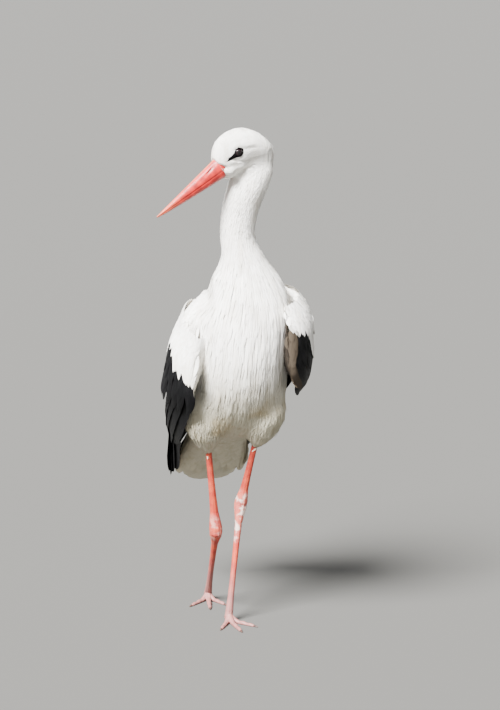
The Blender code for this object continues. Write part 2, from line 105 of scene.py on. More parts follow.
# Neck, trunk and tail: back line forward and height, belly line forward and height, half
# width, and distance sideways.
BODY = (
    (0.022, 0.990, 0.078, 0.976, 0.034, 0.042),
    (0.014, 0.940, 0.086, 0.925, 0.040, 0.026),
    (0.008, 0.885, 0.080, 0.872, 0.037, 0.010),
    (0.011, 0.838, 0.080, 0.822, 0.035, 0.004),
    (0.013, 0.795, 0.092, 0.775, 0.044, 0.014),
    (0.006, 0.763, 0.116, 0.718, 0.070, 0.020),
    (-0.016, 0.728, 0.136, 0.655, 0.092, 0.016),
    (-0.054, 0.680, 0.140, 0.580, 0.096, 0.013),
    (-0.096, 0.618, 0.118, 0.503, 0.100, 0.012),
    (-0.140, 0.548, 0.066, 0.438, 0.103, 0.012),
    (-0.180, 0.482, -0.008, 0.398, 0.095, 0.011),
    (-0.212, 0.430, -0.088, 0.378, 0.076, 0.008),
    (-0.244, 0.378, -0.184, 0.346, 0.066, 0.005),
    (-0.286, 0.312, -0.258, 0.294, 0.076, 0.000),
    (-0.328, 0.242, -0.316, 0.234, 0.072, -0.001),
)
# The folded wings lie on a fuller shape that keeps clear of the tail.
WING_BED = BODY[:10] + (
    (-0.184, 0.486, -0.008, 0.398, 0.098, 0.011),
    (-0.222, 0.438, -0.088, 0.376, 0.088, 0.008),
    (-0.258, 0.388, -0.158, 0.332, 0.083, 0.005),
    (-0.300, 0.330, -0.228, 0.284, 0.084, 0.002),
    (-0.340, 0.270, -0.290, 0.238, 0.078, 0.000),
    (-0.376, 0.210, -0.346, 0.192, 0.064, 0.000),
)
TAIL_START, TAIL_END = 12.0, 14.0


# ---- numbers
def linear(colour: str) -> tuple[float, float, float, float]:
    """Turns an sRGB hex colour into linear RGBA.

    Args:
        colour: six hex digits, with or without a leading hash.

    Returns:
        Linear red, green, blue and an alpha of 1.
    """
    digits = colour.lstrip("#")
    parts = [int(digits[k : k + 2], 16) / 255 for k in (0, 2, 4)]
    red, green, blue = (
        part / 12.92 if part <= 0.04045 else ((part + 0.055) / 1.055) ** 2.4 for part in parts
    )
    return red, green, blue, 1.0


def smoothstep(low: float, high: float, value: Array | float) -> Array:
    """0 below low, 1 above high, and smooth between."""
    share = np.clip((np.asarray(value, float) - low) / (high - low), 0.0, 1.0)
    return share * share * (3 - 2 * share)


def hump(centre: float, reach: float, value: Array) -> Array:
    """1 at the centre, falling smoothly to 0 at a reach either side."""
    return 1 - smoothstep(0.0, reach, np.abs(value - centre))


def bell(off: Array, width: float) -> Array:
    """1 where a value is 0, falling off smoothly over a width."""
    return np.exp(-((off / width) ** 2))


def unit(vectors: Array) -> Array:
    """The same directions, at length 1."""
    length = np.linalg.norm(vectors, axis=-1, keepdims=True)
    return vectors / np.maximum(length, 1e-12)


def sideways(centre: Array, normal: Array) -> Array:
    """The directions across feathers, from their centre lines and normals."""
    return unit(np.cross(np.gradient(centre, axis=1), normal))


def spline(rows: Array, place: Array) -> Array:
    """Rows at fractional places in a table, on a Catmull-Rom curve.

    Args:
        rows: the table.
        place: fractional row numbers.

    Returns:
        One row for each place.
    """
    last = len(rows) - 1
    place = np.clip(place, 0.0, float(last))
    step = np.minimum(place.astype(int), last - 1)
    t = (place - step)[..., None]
    before, start, end, after = (rows[np.clip(step + k, 0, last)] for k in (-1, 0, 1, 2))
    bend = 2 * before - 5 * start + 4 * end - after
    turn = -before + 3 * start - 3 * end + after
    return 0.5 * (2 * start + (end - before) * t + bend * t * t + turn * t**3)


def eased(rows: tuple, place: Array) -> Array:
    """Reads rows of (station, value), with the corners between them rounded."""
    around = place[..., None] + np.linspace(-0.6, 0.6, 7)
    return np.interp(around, *zip(*rows)).mean(axis=-1)


# ---- materials
SMOOTH = {"interpolation_type": "SMOOTHSTEP"}  # eases a Map Range at both ends
MULTIPLY = {"operation": "MULTIPLY"}


def grain(place: Socket, size: float, detail: float = 3.0) -> dict:
    """A noise's inputs for features about as large as a size in metres."""
    return {"Vector": place, "Scale": 1 / size, "Detail": detail}


class Finish:
    """A new Principled material with its node tree and shader."""

    def __init__(self, name: str) -> None:
        """Makes the empty material."""
        self.material = bpy.data.materials.new(name)
        self.material.use_nodes = True
        self.tree = self.material.node_tree
        self.shader = self.tree.nodes["Principled BSDF"]

    def add_node(
        self, kind: str, inputs: dict | tuple = (), out: int | str = 0, **settings
    ) -> Socket:
        """Adds a shader node with its settings and links.

        Args:
            kind: the node's type, without its ShaderNode.
            inputs: values or sockets, by the input's name or number, or in their order.
            out: the name or number of the output that is wanted.
            **settings: the node's own properties.

        Returns:
            That output.
        """
        node = self.tree.nodes.new(f"ShaderNode{kind}")
        for name, value in settings.items():
            setattr(node, name, value)
        self.feed(node, inputs if isinstance(inputs, dict) else dict(enumerate(inputs)))
        return node.outputs[out]

    def add_each(self, kind: str, rows: tuple, **settings) -> list[Socket]:
        """Adds one node of a kind for each row of inputs."""
        return [self.add_node(kind, inputs, **settings) for inputs in rows]

    def feed(self, node: bpy.types.Node, inputs: dict) -> None:
        """Links sockets to a node's inputs, and sets its other values."""
        for name, value in inputs.items():
            if isinstance(value, Socket):
                self.tree.links.new(value, node.inputs[name])
            else:
                node.inputs[name].default_value = value

    def paint(self, ground: str, *layers: tuple) -> Socket:
        """Lays colours over one another.

        Args:
            ground: the first colour, as sRGB hex digits.
            *layers: a share, a colour and, where it isn't MIX, the way of mixing.

        Returns:
            The last colour.
        """
        colour = linear(ground)
        for share, tone, *mode in layers:
            mixed = {0: share, 6: colour, 7: linear(tone)}
            way = {"data_type": "RGBA", "blend_type": mode[0] if mode else "MIX"}
            colour = self.add_node("Mix", mixed, 2, **way)
        return colour

    def barbs(self, slant: float, turns: float) -> tuple:
        """Fine ridges that run from a feather's shaft towards its tip.

        Args:
            slant: how far a barb has gone along the vane at its edge, with a minus.
            turns: how often they repeat along the vane, in radians.

        Returns:
            The ridges' height, and the share of the vane's width from its shaft.
        """
        add = self.add_node
        axes = add("SeparateXYZ", (add("UVMap", uv_map=VANE_MAP),)).node.outputs
        across = add("Math", (axes["X"], 0.5), operation="SUBTRACT")
        from_shaft = add("Math", (across,), operation="ABSOLUTE")
        slanted = add("Math", (from_shaft, slant), **MULTIPLY)
        along = add("Math", (slanted, axes["Y"]), operation="ADD")
        turned = add("Math", (along, turns), **MULTIPLY)
        return add("Math", (turned,), operation="SINE"), from_shaft

    def dress(self, inputs: dict) -> Material:
        """Feeds the shader and hands over the material."""
        self.feed(self.shader, inputs)
        return self.material


@dataclass(frozen=True)
class WhitePlumage:
    """White contour feathers: matt keratin vanes full of air, so that light spreads inside them and
    they look soft and warm white, with painted shade greying the feathers in low-lying locks
    and in streaks where the long hackles part, a little soil on the lower breast, dust and
    painted shade darkening the lower body, and painted shade with some soil browning the
    wings' lower inner faces."""

    clean: str = "#FBF8F2"
    shaded: str = "#E9E6E0"
    # painted shade for the partings between the long hackles
    streaked: str = "#DDD8CF"
    soil: str = "#A58D5C"
    # dust and painted shade: olive beige that darkens the lower body, which faces down
    dust: str = "#ABA387"
    # painted shade with some soil: the brown of the wings' lower faces that turn to the flank
    under: str = "#3D352C"
    black: str = "#070608"
    mottle: float = 0.045  # the size of the grey and white patches
    cloud: float = 0.075  # the size of the soiled patches
    streak: float = 0.016  # how far apart the long hackles part
    soiled: float = 0.75
    soil_low: float = 0.34
    soil_high: float = 0.54
    dust_low: float = 0.44
    dust_high: float = 0.62
    roughness: float = 0.8

    def build(self, vaned: bool) -> Material:
        """Makes the finish.

        Args:
            vaned: whether the surface has vane coordinates and tints, as feathers do.

        Returns:
            The material.
        """
        finish = Finish("white_contour_feather" if vaned else "white_downy_skin")
        add = finish.add_node
        place = add("TexCoord", (), "Object")
        axes = add("SeparateXYZ", (place,)).node.outputs
        back, height = axes["Y"], axes["Z"]
        drawn_out = add("Mapping", {"Vector": place, "Scale": (1, 1, 0.1)})
        mottle, cloud, streak = finish.add_each(
            "TexNoise",
            (
                grain(place, self.mottle),
                grain(place, self.cloud, 4.0),
                grain(drawn_out, self.streak, 2.0),
            ),
        )
        mark = add("Attribute", (), "Fac", attribute_name="mark")
        grey, low, high, front, cloudy, dust_and_shade_share, parting_shade_share, shaded_and_stained, blackened = finish.add_each(
            "MapRange",
            (
                (mottle, 0.35, 0.75),
                (height, self.soil_low, self.soil_low + 0.08),
                (height, self.soil_high - 0.1, self.soil_high, 1, 0),
                (back, -0.10, -0.17),
                (cloud, 0.47, 0.72),
                # dust and painted shade: darker and olive beige towards the bottom of the body
                (height, self.dust_low, self.dust_high, 0.85, 0.0),
                # painted shade in grey streaks where the long hackles part
                (streak, 0.48, 0.74, 0.0, 0.55),
                # painted shade with some soil, by the mark, on the wings' lower inner faces
                (mark, 0.0, 0.5),
                (mark, 0.6, 0.9),
            ),
            **SMOOTH,
        )
        soiled = low
        for share in (high, front, cloudy, self.soiled):
            soiled = add("Math", (soiled, share), **MULTIPLY)
        layers = [
            (grey, self.shaded),
            (dust_and_shade_share, self.dust),
            (soiled, self.soil),
            (parting_shade_share, self.streaked, "MULTIPLY"),
        ]
        looks = {
            "Roughness": self.roughness,
            "Specular IOR Level": 0.12,
            "Subsurface Weight": 0.18,
            "Subsurface Radius": (1.0, 0.9, 0.75),
            "Subsurface Scale": 0.004,
        }
        if vaned:
            # Real barbs stand 0.4 mm apart, too fine to show, so these are coarser.
            barbs, _ = finish.barbs(-0.5, 150.0)
            relief = {"Height": barbs, "Strength": 0.25, "Distance": 0.0002}
            looks["Normal"] = add("Bump", relief)
            # painted shade with random tone: feathers in low-lying locks carry low tints and are
            # greyed
            tint = add("Attribute", (), "Fac", attribute_name="tint")
            deep = add("MapRange", (tint, 0.0, 1.0, 0.7, 0.0), **SMOOTH)
            layers.append((deep, self.shaded, "MULTIPLY"))
        layers += [(shaded_and_stained, self.under), (blackened, self.black)]
        return finish.dress({"Base Color": finish.paint(self.clean, *layers), **looks})


@dataclass(frozen=True)
class BlackFlightFeather:
    """Black flight feathers: dense keratin vanes with a silky gloss along the barbs, nearly
    black, with browner worn edges."""

    black: str = "#050506"
    worn: str = "#151215"
    roughness: float = 0.55

    def build(self) -> Material:
        """Makes the finish."""
        finish = Finish("black_flight_feather")
        add = finish.add_node
        barbs, from_shaft = finish.barbs(-0.16, 700.0)
        edge, shaft = finish.add_each(
            "MapRange",
            ((from_shaft, 0.32, 0.5, 0.0, 0.6), (from_shaft, 0.0, 0.05, 3.0, 0.0)),
            **SMOOTH,
        )
        tint = add("Attribute", (), "Fac", attribute_name="tint")
        wear = add("Math", (edge, tint), **MULTIPLY)
        relief = add("Math", (barbs, shaft), operation="ADD")
        looks = {
            "Base Color": finish.paint(self.black, (wear, self.worn)),
            "Normal": add("Bump", {"Height": relief, "Strength": 0.35, "Distance": 0.0003}),
            "Roughness": self.roughness,
            "Specular IOR Level": 0.12,
        }
        return finish.dress(looks)


@dataclass(frozen=True)
class RedBill:
    """The horny sheath of the bill: smooth keratin in coral red, waxy rather than glossy, with a
    pale orange painted highlight along the ridge, paler towards the tip, painted shade in the
    nostril slits and inside the mouth, and fine lengthwise grain."""

    red: str = "#B3241E"
    deep: str = "#861816"
    # pale: the painted highlight along the ridge, and the paler tip
    pale: str = "#CF7048"
    # dark: painted shade in the nostril slits and inside the mouth
    dark: str = "#3A0C0B"

    def build(self) -> Material:
        """Makes the finish."""
        finish = Finish("coral_bill_horn")
        add = finish.add_node
        sheath = add("UVMap", uv_map=VANE_MAP)
        fibres = add("Mapping", {"Vector": sheath, "Scale": (70.0, 5.0, 1.0)})
        patches = add("TexNoise", grain(add("TexCoord", (), "Object"), 0.014, 4.0))
        fibre = add("TexNoise", grain(fibres, 1.0, 5.0))
        ridge = add("Attribute", (), "Fac", attribute_name="ridge")
        # painted shade in the nostril slits and inside the mouth
        hollow = add("Attribute", (), "Fac", attribute_name="hollow")
        patchy, ridge_highlight, tip, rough = finish.add_each(
            "MapRange",
            (
                (patches, 0.35, 0.7),
                # painted highlight along the ridge
                (ridge, 0.45, 1.0, 0.0, 0.75),
                (add("SeparateXYZ", (sheath,), "Y"), 0.55, 1.0, 0.0, 0.45),
                (fibre, 0.3, 0.7, 0.32, 0.5),
            ),
            **SMOOTH,
        )
        layers = ((patchy, self.deep), (ridge_highlight, self.pale), (tip, self.pale), (hollow, self.dark))
        looks = {
            "Base Color": finish.paint(self.red, *layers),
            "Normal": add("Bump", {"Height": fibre, "Strength": 0.5, "Distance": 0.0006}),
            "Roughness": rough,
            "Subsurface Weight": 0.08,
            "Subsurface Radius": (1.0, 0.3, 0.2),
            "Subsurface Scale": 0.002,
        }
        return finish.dress(looks)


@dataclass(frozen=True)
class LegSkin:
    """Bare leg skin in small horny scales: matt orange red, chalky where droppings and dry
    scales whiten it, duller towards the foot, with painted shade in the grooves between the
    scales."""

    name: str
    chalk_low: float
    chalk_high: float
    chalk: float
    red: str = "#9C271C"
    orange: str = "#B44327"
    white: str = "#CDB8AC"
    dull: str = "#7A625F"
    # crease: painted shade in the grooves between the scales
    crease: str = "#5E1813"

    def build(self) -> Material:
        """Makes the finish."""
        finish = Finish(self.name)
        add = finish.add_node
        place = add("TexCoord", (), "Object")
        height = add("SeparateXYZ", (place,), "Z")
        patches, crusts, pores = finish.add_each(
            "TexNoise",
            (grain(place, 0.02, 4.0), grain(place, 0.016, 5.0), grain(place, 0.0012, 2.0)),
        )
        scale = add("Attribute", (), "Fac", attribute_name="scale_height")
        patchy, low, chalky, fall, crusty, crease = finish.add_each(
            "MapRange",
            (
                (patches, 0.35, 0.65),
                (height, 0.03, 0.15, 0.75, 0.0),
                (height, self.chalk_low, self.chalk_low + 0.03),
                (height, self.chalk_high - 0.03, self.chalk_high, 1, 0),
                (crusts, 0.46, 0.6, 0.12, 1.0),
                # painted shade where the skin lies low between scales
                (scale, 0.0, 0.5, 0.5, 0.0),
            ),
            **SMOOTH,
        )
        for share in (fall, crusty, self.chalk):
            chalky = add("Math", (chalky, share), **MULTIPLY)
        layers = (
            (patchy, self.orange), (low, self.dull), (chalky, self.white), (crease, self.crease)
        )
        looks = {
            "Base Color": finish.paint(self.red, *layers),
            "Normal": add("Bump", {"Height": pores, "Strength": 0.3, "Distance": 0.0002}),
            "Roughness": 0.55,
            "Subsurface Weight": 0.06,
            "Subsurface Radius": (1.0, 0.3, 0.2),
            "Subsurface Scale": 0.002,
        }
        return finish.dress(looks)


@dataclass(frozen=True)
class PlainFinish:
    """A finish with a little mottling and relief: claw horn or black bare skin."""

    name: str
    colour: str
    other: str
    speckle: float
    roughness: float
    relief: float
    shine: float = 0.3

    def build(self) -> Material:
        """Makes the finish."""
        finish = Finish(self.name)
        add = finish.add_node
        speckle = add("TexNoise", grain(add("TexCoord", (), "Object"), self.speckle, 4.0))
        share = add("MapRange", (speckle, 0.35, 0.7), **SMOOTH)
        relief = {"Height": speckle, "Strength": 0.5, "Distance": self.relief}
        looks = {
            "Base Color": finish.paint(self.colour, (share, self.other)),
            "Normal": add("Bump", relief),
            "Roughness": self.roughness,
            "Specular IOR Level": self.shine,
        }
        return finish.dress(looks)


@dataclass(frozen=True)
class WetEye:
    """The eye: a wet, clear cornea over a dark brown iris and a black pupil, so that it
    looks black from afar with one sharp glint."""

    iris: str = "#1E1214"
    rim: str = "#0A0608"
    pupil: str = "#020202"

    def build(self) -> Material:
        """Makes the finish."""
        finish = Finish("wet_brown_eye")
        out = finish.add_node("Attribute", (), "Fac", attribute_name="from_gaze")
        stops = (
            (0.0, self.pupil),
            (0.40, self.pupil),
            (0.44, self.iris),
            (0.62, self.iris),
            (0.72, self.rim),
        )
        colour = finish.add_node("ValToRGB", (out,))
        elements = colour.node.color_ramp.elements
        while len(elements) < len(stops):
            elements.new(0.5)
        for element, (position, tone) in zip(elements, stops):
            element.position, element.color = position, linear(tone)
        looks = {
            "Base Color": colour,
            "Roughness": 0.5,
            "Specular IOR Level": 0.0,
            "Coat Weight": finish.add_node("MapRange", (out, 0.66, 0.80, 1.0, 0.0), **SMOOTH),
            "Coat Roughness": 0.02,
            "Coat IOR": 1.50,
        }
        return finish.dress(looks)


# ---- mesh helpers
def new_object(name: str, data: bpy.types.ID) -> Object:
    """Puts a mesh, a light or a camera into the scene."""
    made = bpy.data.objects.new(name, data)
    bpy.context.scene.collection.objects.link(made)
    return made


def new_piece(name: str, built: bmesh.types.BMesh) -> Object:
    """Puts a finished bmesh into the scene as a new object."""
    mesh = bpy.data.meshes.new(name)
    built.to_mesh(mesh)
    built.free()
    return new_object(name, mesh)


def face_outward(built: bmesh.types.BMesh) -> None:
    """Turns a closed shell's faces outwards."""
    bmesh.ops.recalc_face_normals(built, faces=built.faces)
    if built.calc_volume(signed=True) < 0:
        bmesh.ops.reverse_faces(built, faces=built.faces)


def mesh_points(mesh: Mesh, key: str = "co") -> Array:
    """The positions or normals of a mesh's vertices."""
    values = np.empty(len(mesh.vertices) * 3)
    mesh.vertices.foreach_get(key, values)
    return values.reshape(-1, 3)


def mesh_edges(mesh: Mesh) -> Array:
    """The pairs of vertices that edges join."""
    values = np.empty(len(mesh.edges) * 2, int)
    mesh.edges.foreach_get("vertices", values)
    return values.reshape(-1, 2)


def move_points(mesh: Mesh, points: Array) -> None:
    """Gives a mesh's vertices new positions."""
    mesh.vertices.foreach_set("co", points.ravel())
    mesh.update()


def search_tree(places: list) -> KDTree:
    """A tree that finds the nearest of many places."""
    tree = KDTree(len(places))
    for k, place in enumerate(places):
        tree.insert(place, k)
    tree.balance()
    return tree


def spaced(places: list, order: Iterable[int], reach: Array) -> list[int]:
    """Picks places that keep their distance from those picked before.

    Args:
        places: where they are.
        order: their numbers, in the order in which they are tried.
        reach: the least distance round each.

    Returns:
        The numbers of those picked.
    """
    tree, reach = search_tree(places), reach.tolist()
    free, kept = np.ones(len(places), bool), []
    for k in order:
        if free[k]:
            kept.append(k)
            for _, other, _ in tree.find_range(places[k], reach[k]):
                free[other] = False
    return kept


def pick_only(piece: Object) -> None:
    """Makes a piece the one that Blender's operators work on."""
    bpy.ops.object.select_all(action="DESELECT")
    piece.select_set(True)
    bpy.context.view_layer.objects.active = piece


def add_numbers(mesh: Mesh, name: str, values: Array) -> None:
    """Stores a number for each vertex."""
    mesh.attributes.new(name, "FLOAT", "POINT").data.foreach_set(
        "value", np.asarray(values, np.float32)
    )


def wrapped_grid(
    name: str, around: int, along: int, shape: Callable, finish: Material,
    numbers: Callable | None = None
) -> Object:
    """Bends a grid into a closed body that has a seam and two ends.

    Args:
        name: the piece's name.
        around: faces round the body.
        along: faces along the body.
        shape: gives positions from two arrays, the shares round and along the body.
        finish: the material.
        numbers: gives named numbers for each vertex from the same two arrays.

    Returns:
        The new object, with the shares kept as vane coordinates.
    """
    built = bmesh.new()
    bmesh.ops.create_grid(built, x_segments=around, y_segments=along, size=0.5, calc_uvs=True)
    sheet = built.loops.layers.uv.verify()
    flat = np.array([v.co[:] for v in built.verts]) + 0.5
    for face in built.faces:
        for corner in face.loops:
            corner[sheet].uv = (corner.vert.co.x + 0.5, corner.vert.co.y + 0.5)
    extra = numbers(flat[:, 0], flat[:, 1]) if numbers else {}
    layers = {key: built.verts.layers.float.new(key) for key in extra}
    for k, (vert, place) in enumerate(zip(built.verts, shape(flat[:, 0], flat[:, 1]))):
        vert.co = place
        for key, layer in layers.items():
            vert[layer] = float(extra[key][k])
    bmesh.ops.remove_doubles(built, verts=built.verts, dist=1e-6)
    open_edges = [edge for edge in built.edges if edge.is_boundary]
    if open_edges:
        bmesh.ops.holes_fill(built, edges=open_edges, sides=0)
    face_outward(built)
    piece = new_piece(name, built)
    piece.data.uv_layers[0].name = VANE_MAP
    piece.data.shade_smooth()
    piece.data.materials.append(finish)
    return piece


def merged_copy(name: str, nodes: tuple[Object, ...]) -> Object:
    """Joins copies of CAD nodes, with their loose triangles merged.

    Args:
        name: the new object's name.
        nodes: the nodes to copy.

    Returns:
        The joined copy.
    """
    joined = bmesh.new()
    for node in nodes:
        joined.from_mesh(node.data)
    bmesh.ops.remove_doubles(joined, verts=joined.verts, dist=1e-5)
    return new_piece(name, joined)


def remesh(piece: Object, voxel: float) -> None:
    """Turns closed bodies that touch into one even surface."""
    pick_only(piece)
    piece.data.remesh_voxel_size = voxel
    piece.data.remesh_voxel_adaptivity = 0.0
    bpy.ops.object.voxel_remesh()


def relaxed(values: Array, edges: Array, rounds: int, share: float = 0.5) -> Array:
    """Spreads values over a mesh, each towards the mean of its neighbours.

    Args:
        values: one row for each vertex.
        edges: pairs of vertices.
        rounds: how many times.
        share: how far towards the mean each time.

    Returns:
        The smoothed values.
    """
    flat = values.reshape(len(values), -1).astype(float)
    count = len(flat)
    degree = np.maximum(np.bincount(edges.ravel(), minlength=count), 1)[:, None]
    for _ in range(rounds):
        total = np.stack(
            [
                np.bincount(edges[:, 0], column[edges[:, 1]], count)
                + np.bincount(edges[:, 1], column[edges[:, 0]], count)
                for column in flat.T
            ],
            axis=1,
        )
        flat = flat * (1 - share) + total / degree * share
    return flat.reshape(values.shape)


def evened(points: Array, edges: Array, rounds: int) -> Array:
    """Smooths a surface without shrinking it."""
    for _ in range(rounds):
        points = relaxed(points, edges, 1, 0.55)
        points = relaxed(points, edges, 1, -0.575)
    return points


def main_shell(piece: Object) -> None:
    """Keeps only the largest connected shell of a mesh."""
    built = bmesh.new()
    built.from_mesh(piece.data)
    left, shells = set(built.verts), []
    while left:
        stack, shell = [left.pop()], []
        while stack:
            vert = stack.pop()
            shell.append(vert)
            for edge in vert.link_edges:
                other = edge.other_vert(vert)
                if other in left:
                    left.remove(other)
                    stack.append(other)
        shells.append(shell)
    shells.sort(key=len)
    for shell in shells[:-1]:
        bmesh.ops.delete(built, geom=shell, context="VERTS")
    built.to_mesh(piece.data)
    built.free()


# ---- anatomy
class BodyRun:
    """The body's surface as a function of the station along it and the angle round it."""

    def __init__(self, rows: tuple, shift: Vector) -> None:
        """Keeps the rows and the way from the source's origin to the frame's."""
        self.rows = np.array(rows, float)
        self.shift = np.array(shift)

    def sections(self, place: Array) -> tuple[Array, Array, Array]:
        """Back points, belly points and half widths at stations."""
        ring = spline(self.rows, place)
        back = np.stack([ring[..., 5], -ring[..., 0], ring[..., 1]], axis=-1)
        belly = np.stack([ring[..., 5], -ring[..., 2], ring[..., 3]], axis=-1)
        return back + self.shift, belly + self.shift, ring[..., 4]

    def points(self, place: Array, angle: Array) -> Array:
        """Positions at stations and angles, with 0 on the back."""
        back, belly, half_width = self.sections(place)
        flank = np.sin(angle) * (1 - 0.05 * np.cos(angle)) * half_width
        middle, arm = (back + belly) / 2, (back - belly) / 2
        out = middle + arm * np.cos(angle)[..., None]
        out[..., 0] += flank
        return out

    def normals(self, place: Array, angle: Array) -> Array:
        """Outward directions there."""
        step = 0.02
        ahead = self.points(place + step, angle) - self.points(place - step, angle)
        turn = self.points(place, angle + step) - self.points(place, angle - step)
        return -unit(np.cross(ahead, turn))


class Region(Enum):
    """Where a piece of skin lies on the bird."""

    HEAD = 0
    BODY = 1
    THIGH = 2
    WING = 3


FLESH = {
    "head": Region.HEAD,
    "neck_upper": Region.BODY,
    "neck_lower": Region.BODY,
    "trunk": Region.BODY,
    "tail": Region.BODY,
    "thigh_left": Region.THIGH,
    "thigh_right": Region.THIGH,
    "wing_left_coverts": Region.WING,
    "wing_right_coverts": Region.WING,
}


class Anatomy:
    """Places on the bird that every part shares."""

    def __init__(self, nodes: dict[str, Object]) -> None:
        """Finds the head's frame and the body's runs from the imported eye."""
        self.nodes = nodes
        turn = Matrix.Rotation(-BILL_YAW, 4, "Z") @ Matrix.Rotation(BILL_PITCH, 4, "X")
        frame = Matrix.Translation(BILL_BASE) @ turn
        low, high = (Vector(corner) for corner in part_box("eye_left"))
        shift = (low + high) / 2 - frame @ Vector((EYE_OUT, EYE_BACK, EYE_UP))
        self.head = Matrix.Translation(shift) @ frame
        self.body = BodyRun(BODY, shift)
        self.wing_bed = BodyRun(WING_BED, shift)

    def to_head(self, points: Array) -> Array:
        """World positions in head space."""
        back = np.array(self.head.inverted())
        return points @ back[:3, :3].T + back[:3, 3]

    def from_head(self, points: Array) -> Array:
        """Head-space positions in the world."""
        ahead = np.array(self.head)
        return points @ ahead[:3, :3].T + ahead[:3, 3]

    def head_direction(self, directions: Array) -> Array:
        """Head-space directions in the world."""
        return directions @ np.array(self.head)[:3, :3].T

    def node_centre(self, name: str) -> Array:
        """The mean of a node's vertices."""
        return mesh_points(self.nodes[name].data).mean(axis=0)


@dataclass(frozen=True)
class WingRows:
    """How one wing hangs, in rows of (station along the body, value)."""

    side: str
    sign: int
    lift: tuple  # how far its lower edge stands off the flank
    low: tuple  # the angle of its lower edge round the body, in degrees from the back line
    flight_low: tuple  # the same for the flight feathers
    white: tuple  # (share of the way up from the lower edge, station where the white ends)
    stain: float  # how far the white is painted brown on the lower edge that faces the flank: painted shade, with some soil
    start: float  # the station where the coverts start
    wrist: float  # how many stations the lower front corner is rounded off

    def white_end(self, across: Array) -> Array:
        """The station where the white ends."""
        return np.interp(across, *zip(*self.white))


WINGS = (
    WingRows(
        "left",
        1,
        ((5.6, 0.012), (6.5, 0.020), (7.5, 0.020), (8.7, 0.018), (9.4, 0.004), (11.0, 0.000)),
        ((5.6, 138), (6.2, 143), (7.2, 142), (7.8, 148), (8.2, 120), (8.5, 106), (14.0, 66)),
        ((7.4, 110), (8.1, 102), (8.7, 88), (9.5, 78), (10.5, 70), (12.0, 58), (14.0, 50)),
        (
            (0.0, 8.05), (0.022, 8.0), (0.050, 6.4), (0.16, 6.4), (0.22, 6.9), (0.27, 7.7),
            (0.5, 8.0), (0.7, 8.8), (1.0, 9.7)
        ),
        0.50,
        5.62,
        0.0,
    ),
    WingRows(
        "right",
        -1,
        ((6.4, -0.004), (7.5, 0.021), (8.6, 0.037), (9.8, 0.037), (11.2, 0.024), (13.0, 0.004)),
        ((6.0, 114), (7.3, 124), (8.0, 136), (8.4, 140), (8.9, 128), (10.0, 112), (14.0, 80)),
        ((7.5, 134), (8.0, 138), (8.7, 132), (9.5, 125), (10.8, 117), (12.0, 112), (14.0, 116)),
        ((0.0, 7.75), (0.17, 7.7), (0.22, 7.4), (0.34, 7.3), (0.6, 8.5), (1.0, 9.9)),
        0.0,
        6.38,
        0.30,
    ),
)


@dataclass
class Fields:
    """What the coat needs to know at each vertex of the skin."""

    region: Array
    place: Array
    front: Array  # 0 on the back line, 1 on the belly line
    flow: Array
    length: Array
    width: Array
    depth: Array
    lift: Array
    layers: Array
    mark: Array


@dataclass
class CoatTable:
    """Feather sizes in metres at stations down the body, on its front and on its back."""

    # station, length in front and on the back, width in front and on the back, depth
    rows: tuple = (
        (0.0, 0.010, 0.011, 0.0022, 0.0024, 0.0014),
        (1.5, 0.018, 0.016, 0.0027, 0.0030, 0.0018),
        (3.0, 0.028, 0.024, 0.0033, 0.0042, 0.0022),
        (4.5, 0.044, 0.036, 0.0042, 0.0070, 0.0028),
        (6.0, 0.058, 0.044, 0.0050, 0.0120, 0.0034),
        (7.5, 0.058, 0.050, 0.0052, 0.0150, 0.0036),
        (9.0, 0.034, 0.052, 0.0050, 0.0160, 0.0036),
        (10.5, 0.026, 0.056, 0.0050, 0.0170, 0.0034),
        (12.0, 0.030, 0.060, 0.0070, 0.0180, 0.0030),
        (14.0, 0.040, 0.060, 0.0120, 0.0180, 0.0022),
    )
    head_length: tuple = (0.0050, 0.0115)  # at the bill and behind the eye
    head_width: tuple = (0.0016, 0.0027)
    head_depth: float = 0.0012
    nape: tuple = (0.020, 0.0036, 0.0013)  # length, width, lift
    thigh: tuple = (0.027, 0.0040, 0.0030)  # length, width, depth
    wing: tuple = (0.017, 0.0080)  # length, width
    wing_depth: tuple = (0.0025, 0.0045, 0.0040)  # in front, and more over each step behind
    lift: tuple = (0.00022, 0.0010, 0.00055)  # head, thigh, elsewhere
    layers: tuple = (6.0, 8.0)  # how many lie over one another on the head, and elsewhere

    def sizes(self, place: Array, front: Array) -> tuple[Array, Array, Array]:
        """The coat's length, width and depth at stations and shares towards the front."""
        station, *columns = zip(*self.rows)
        read = [np.interp(place, station, column) for column in columns]
        length = read[0] * front + read[1] * (1 - front)
        width = read[2] * front + read[3] * (1 - front)
        return length, width, read[4]


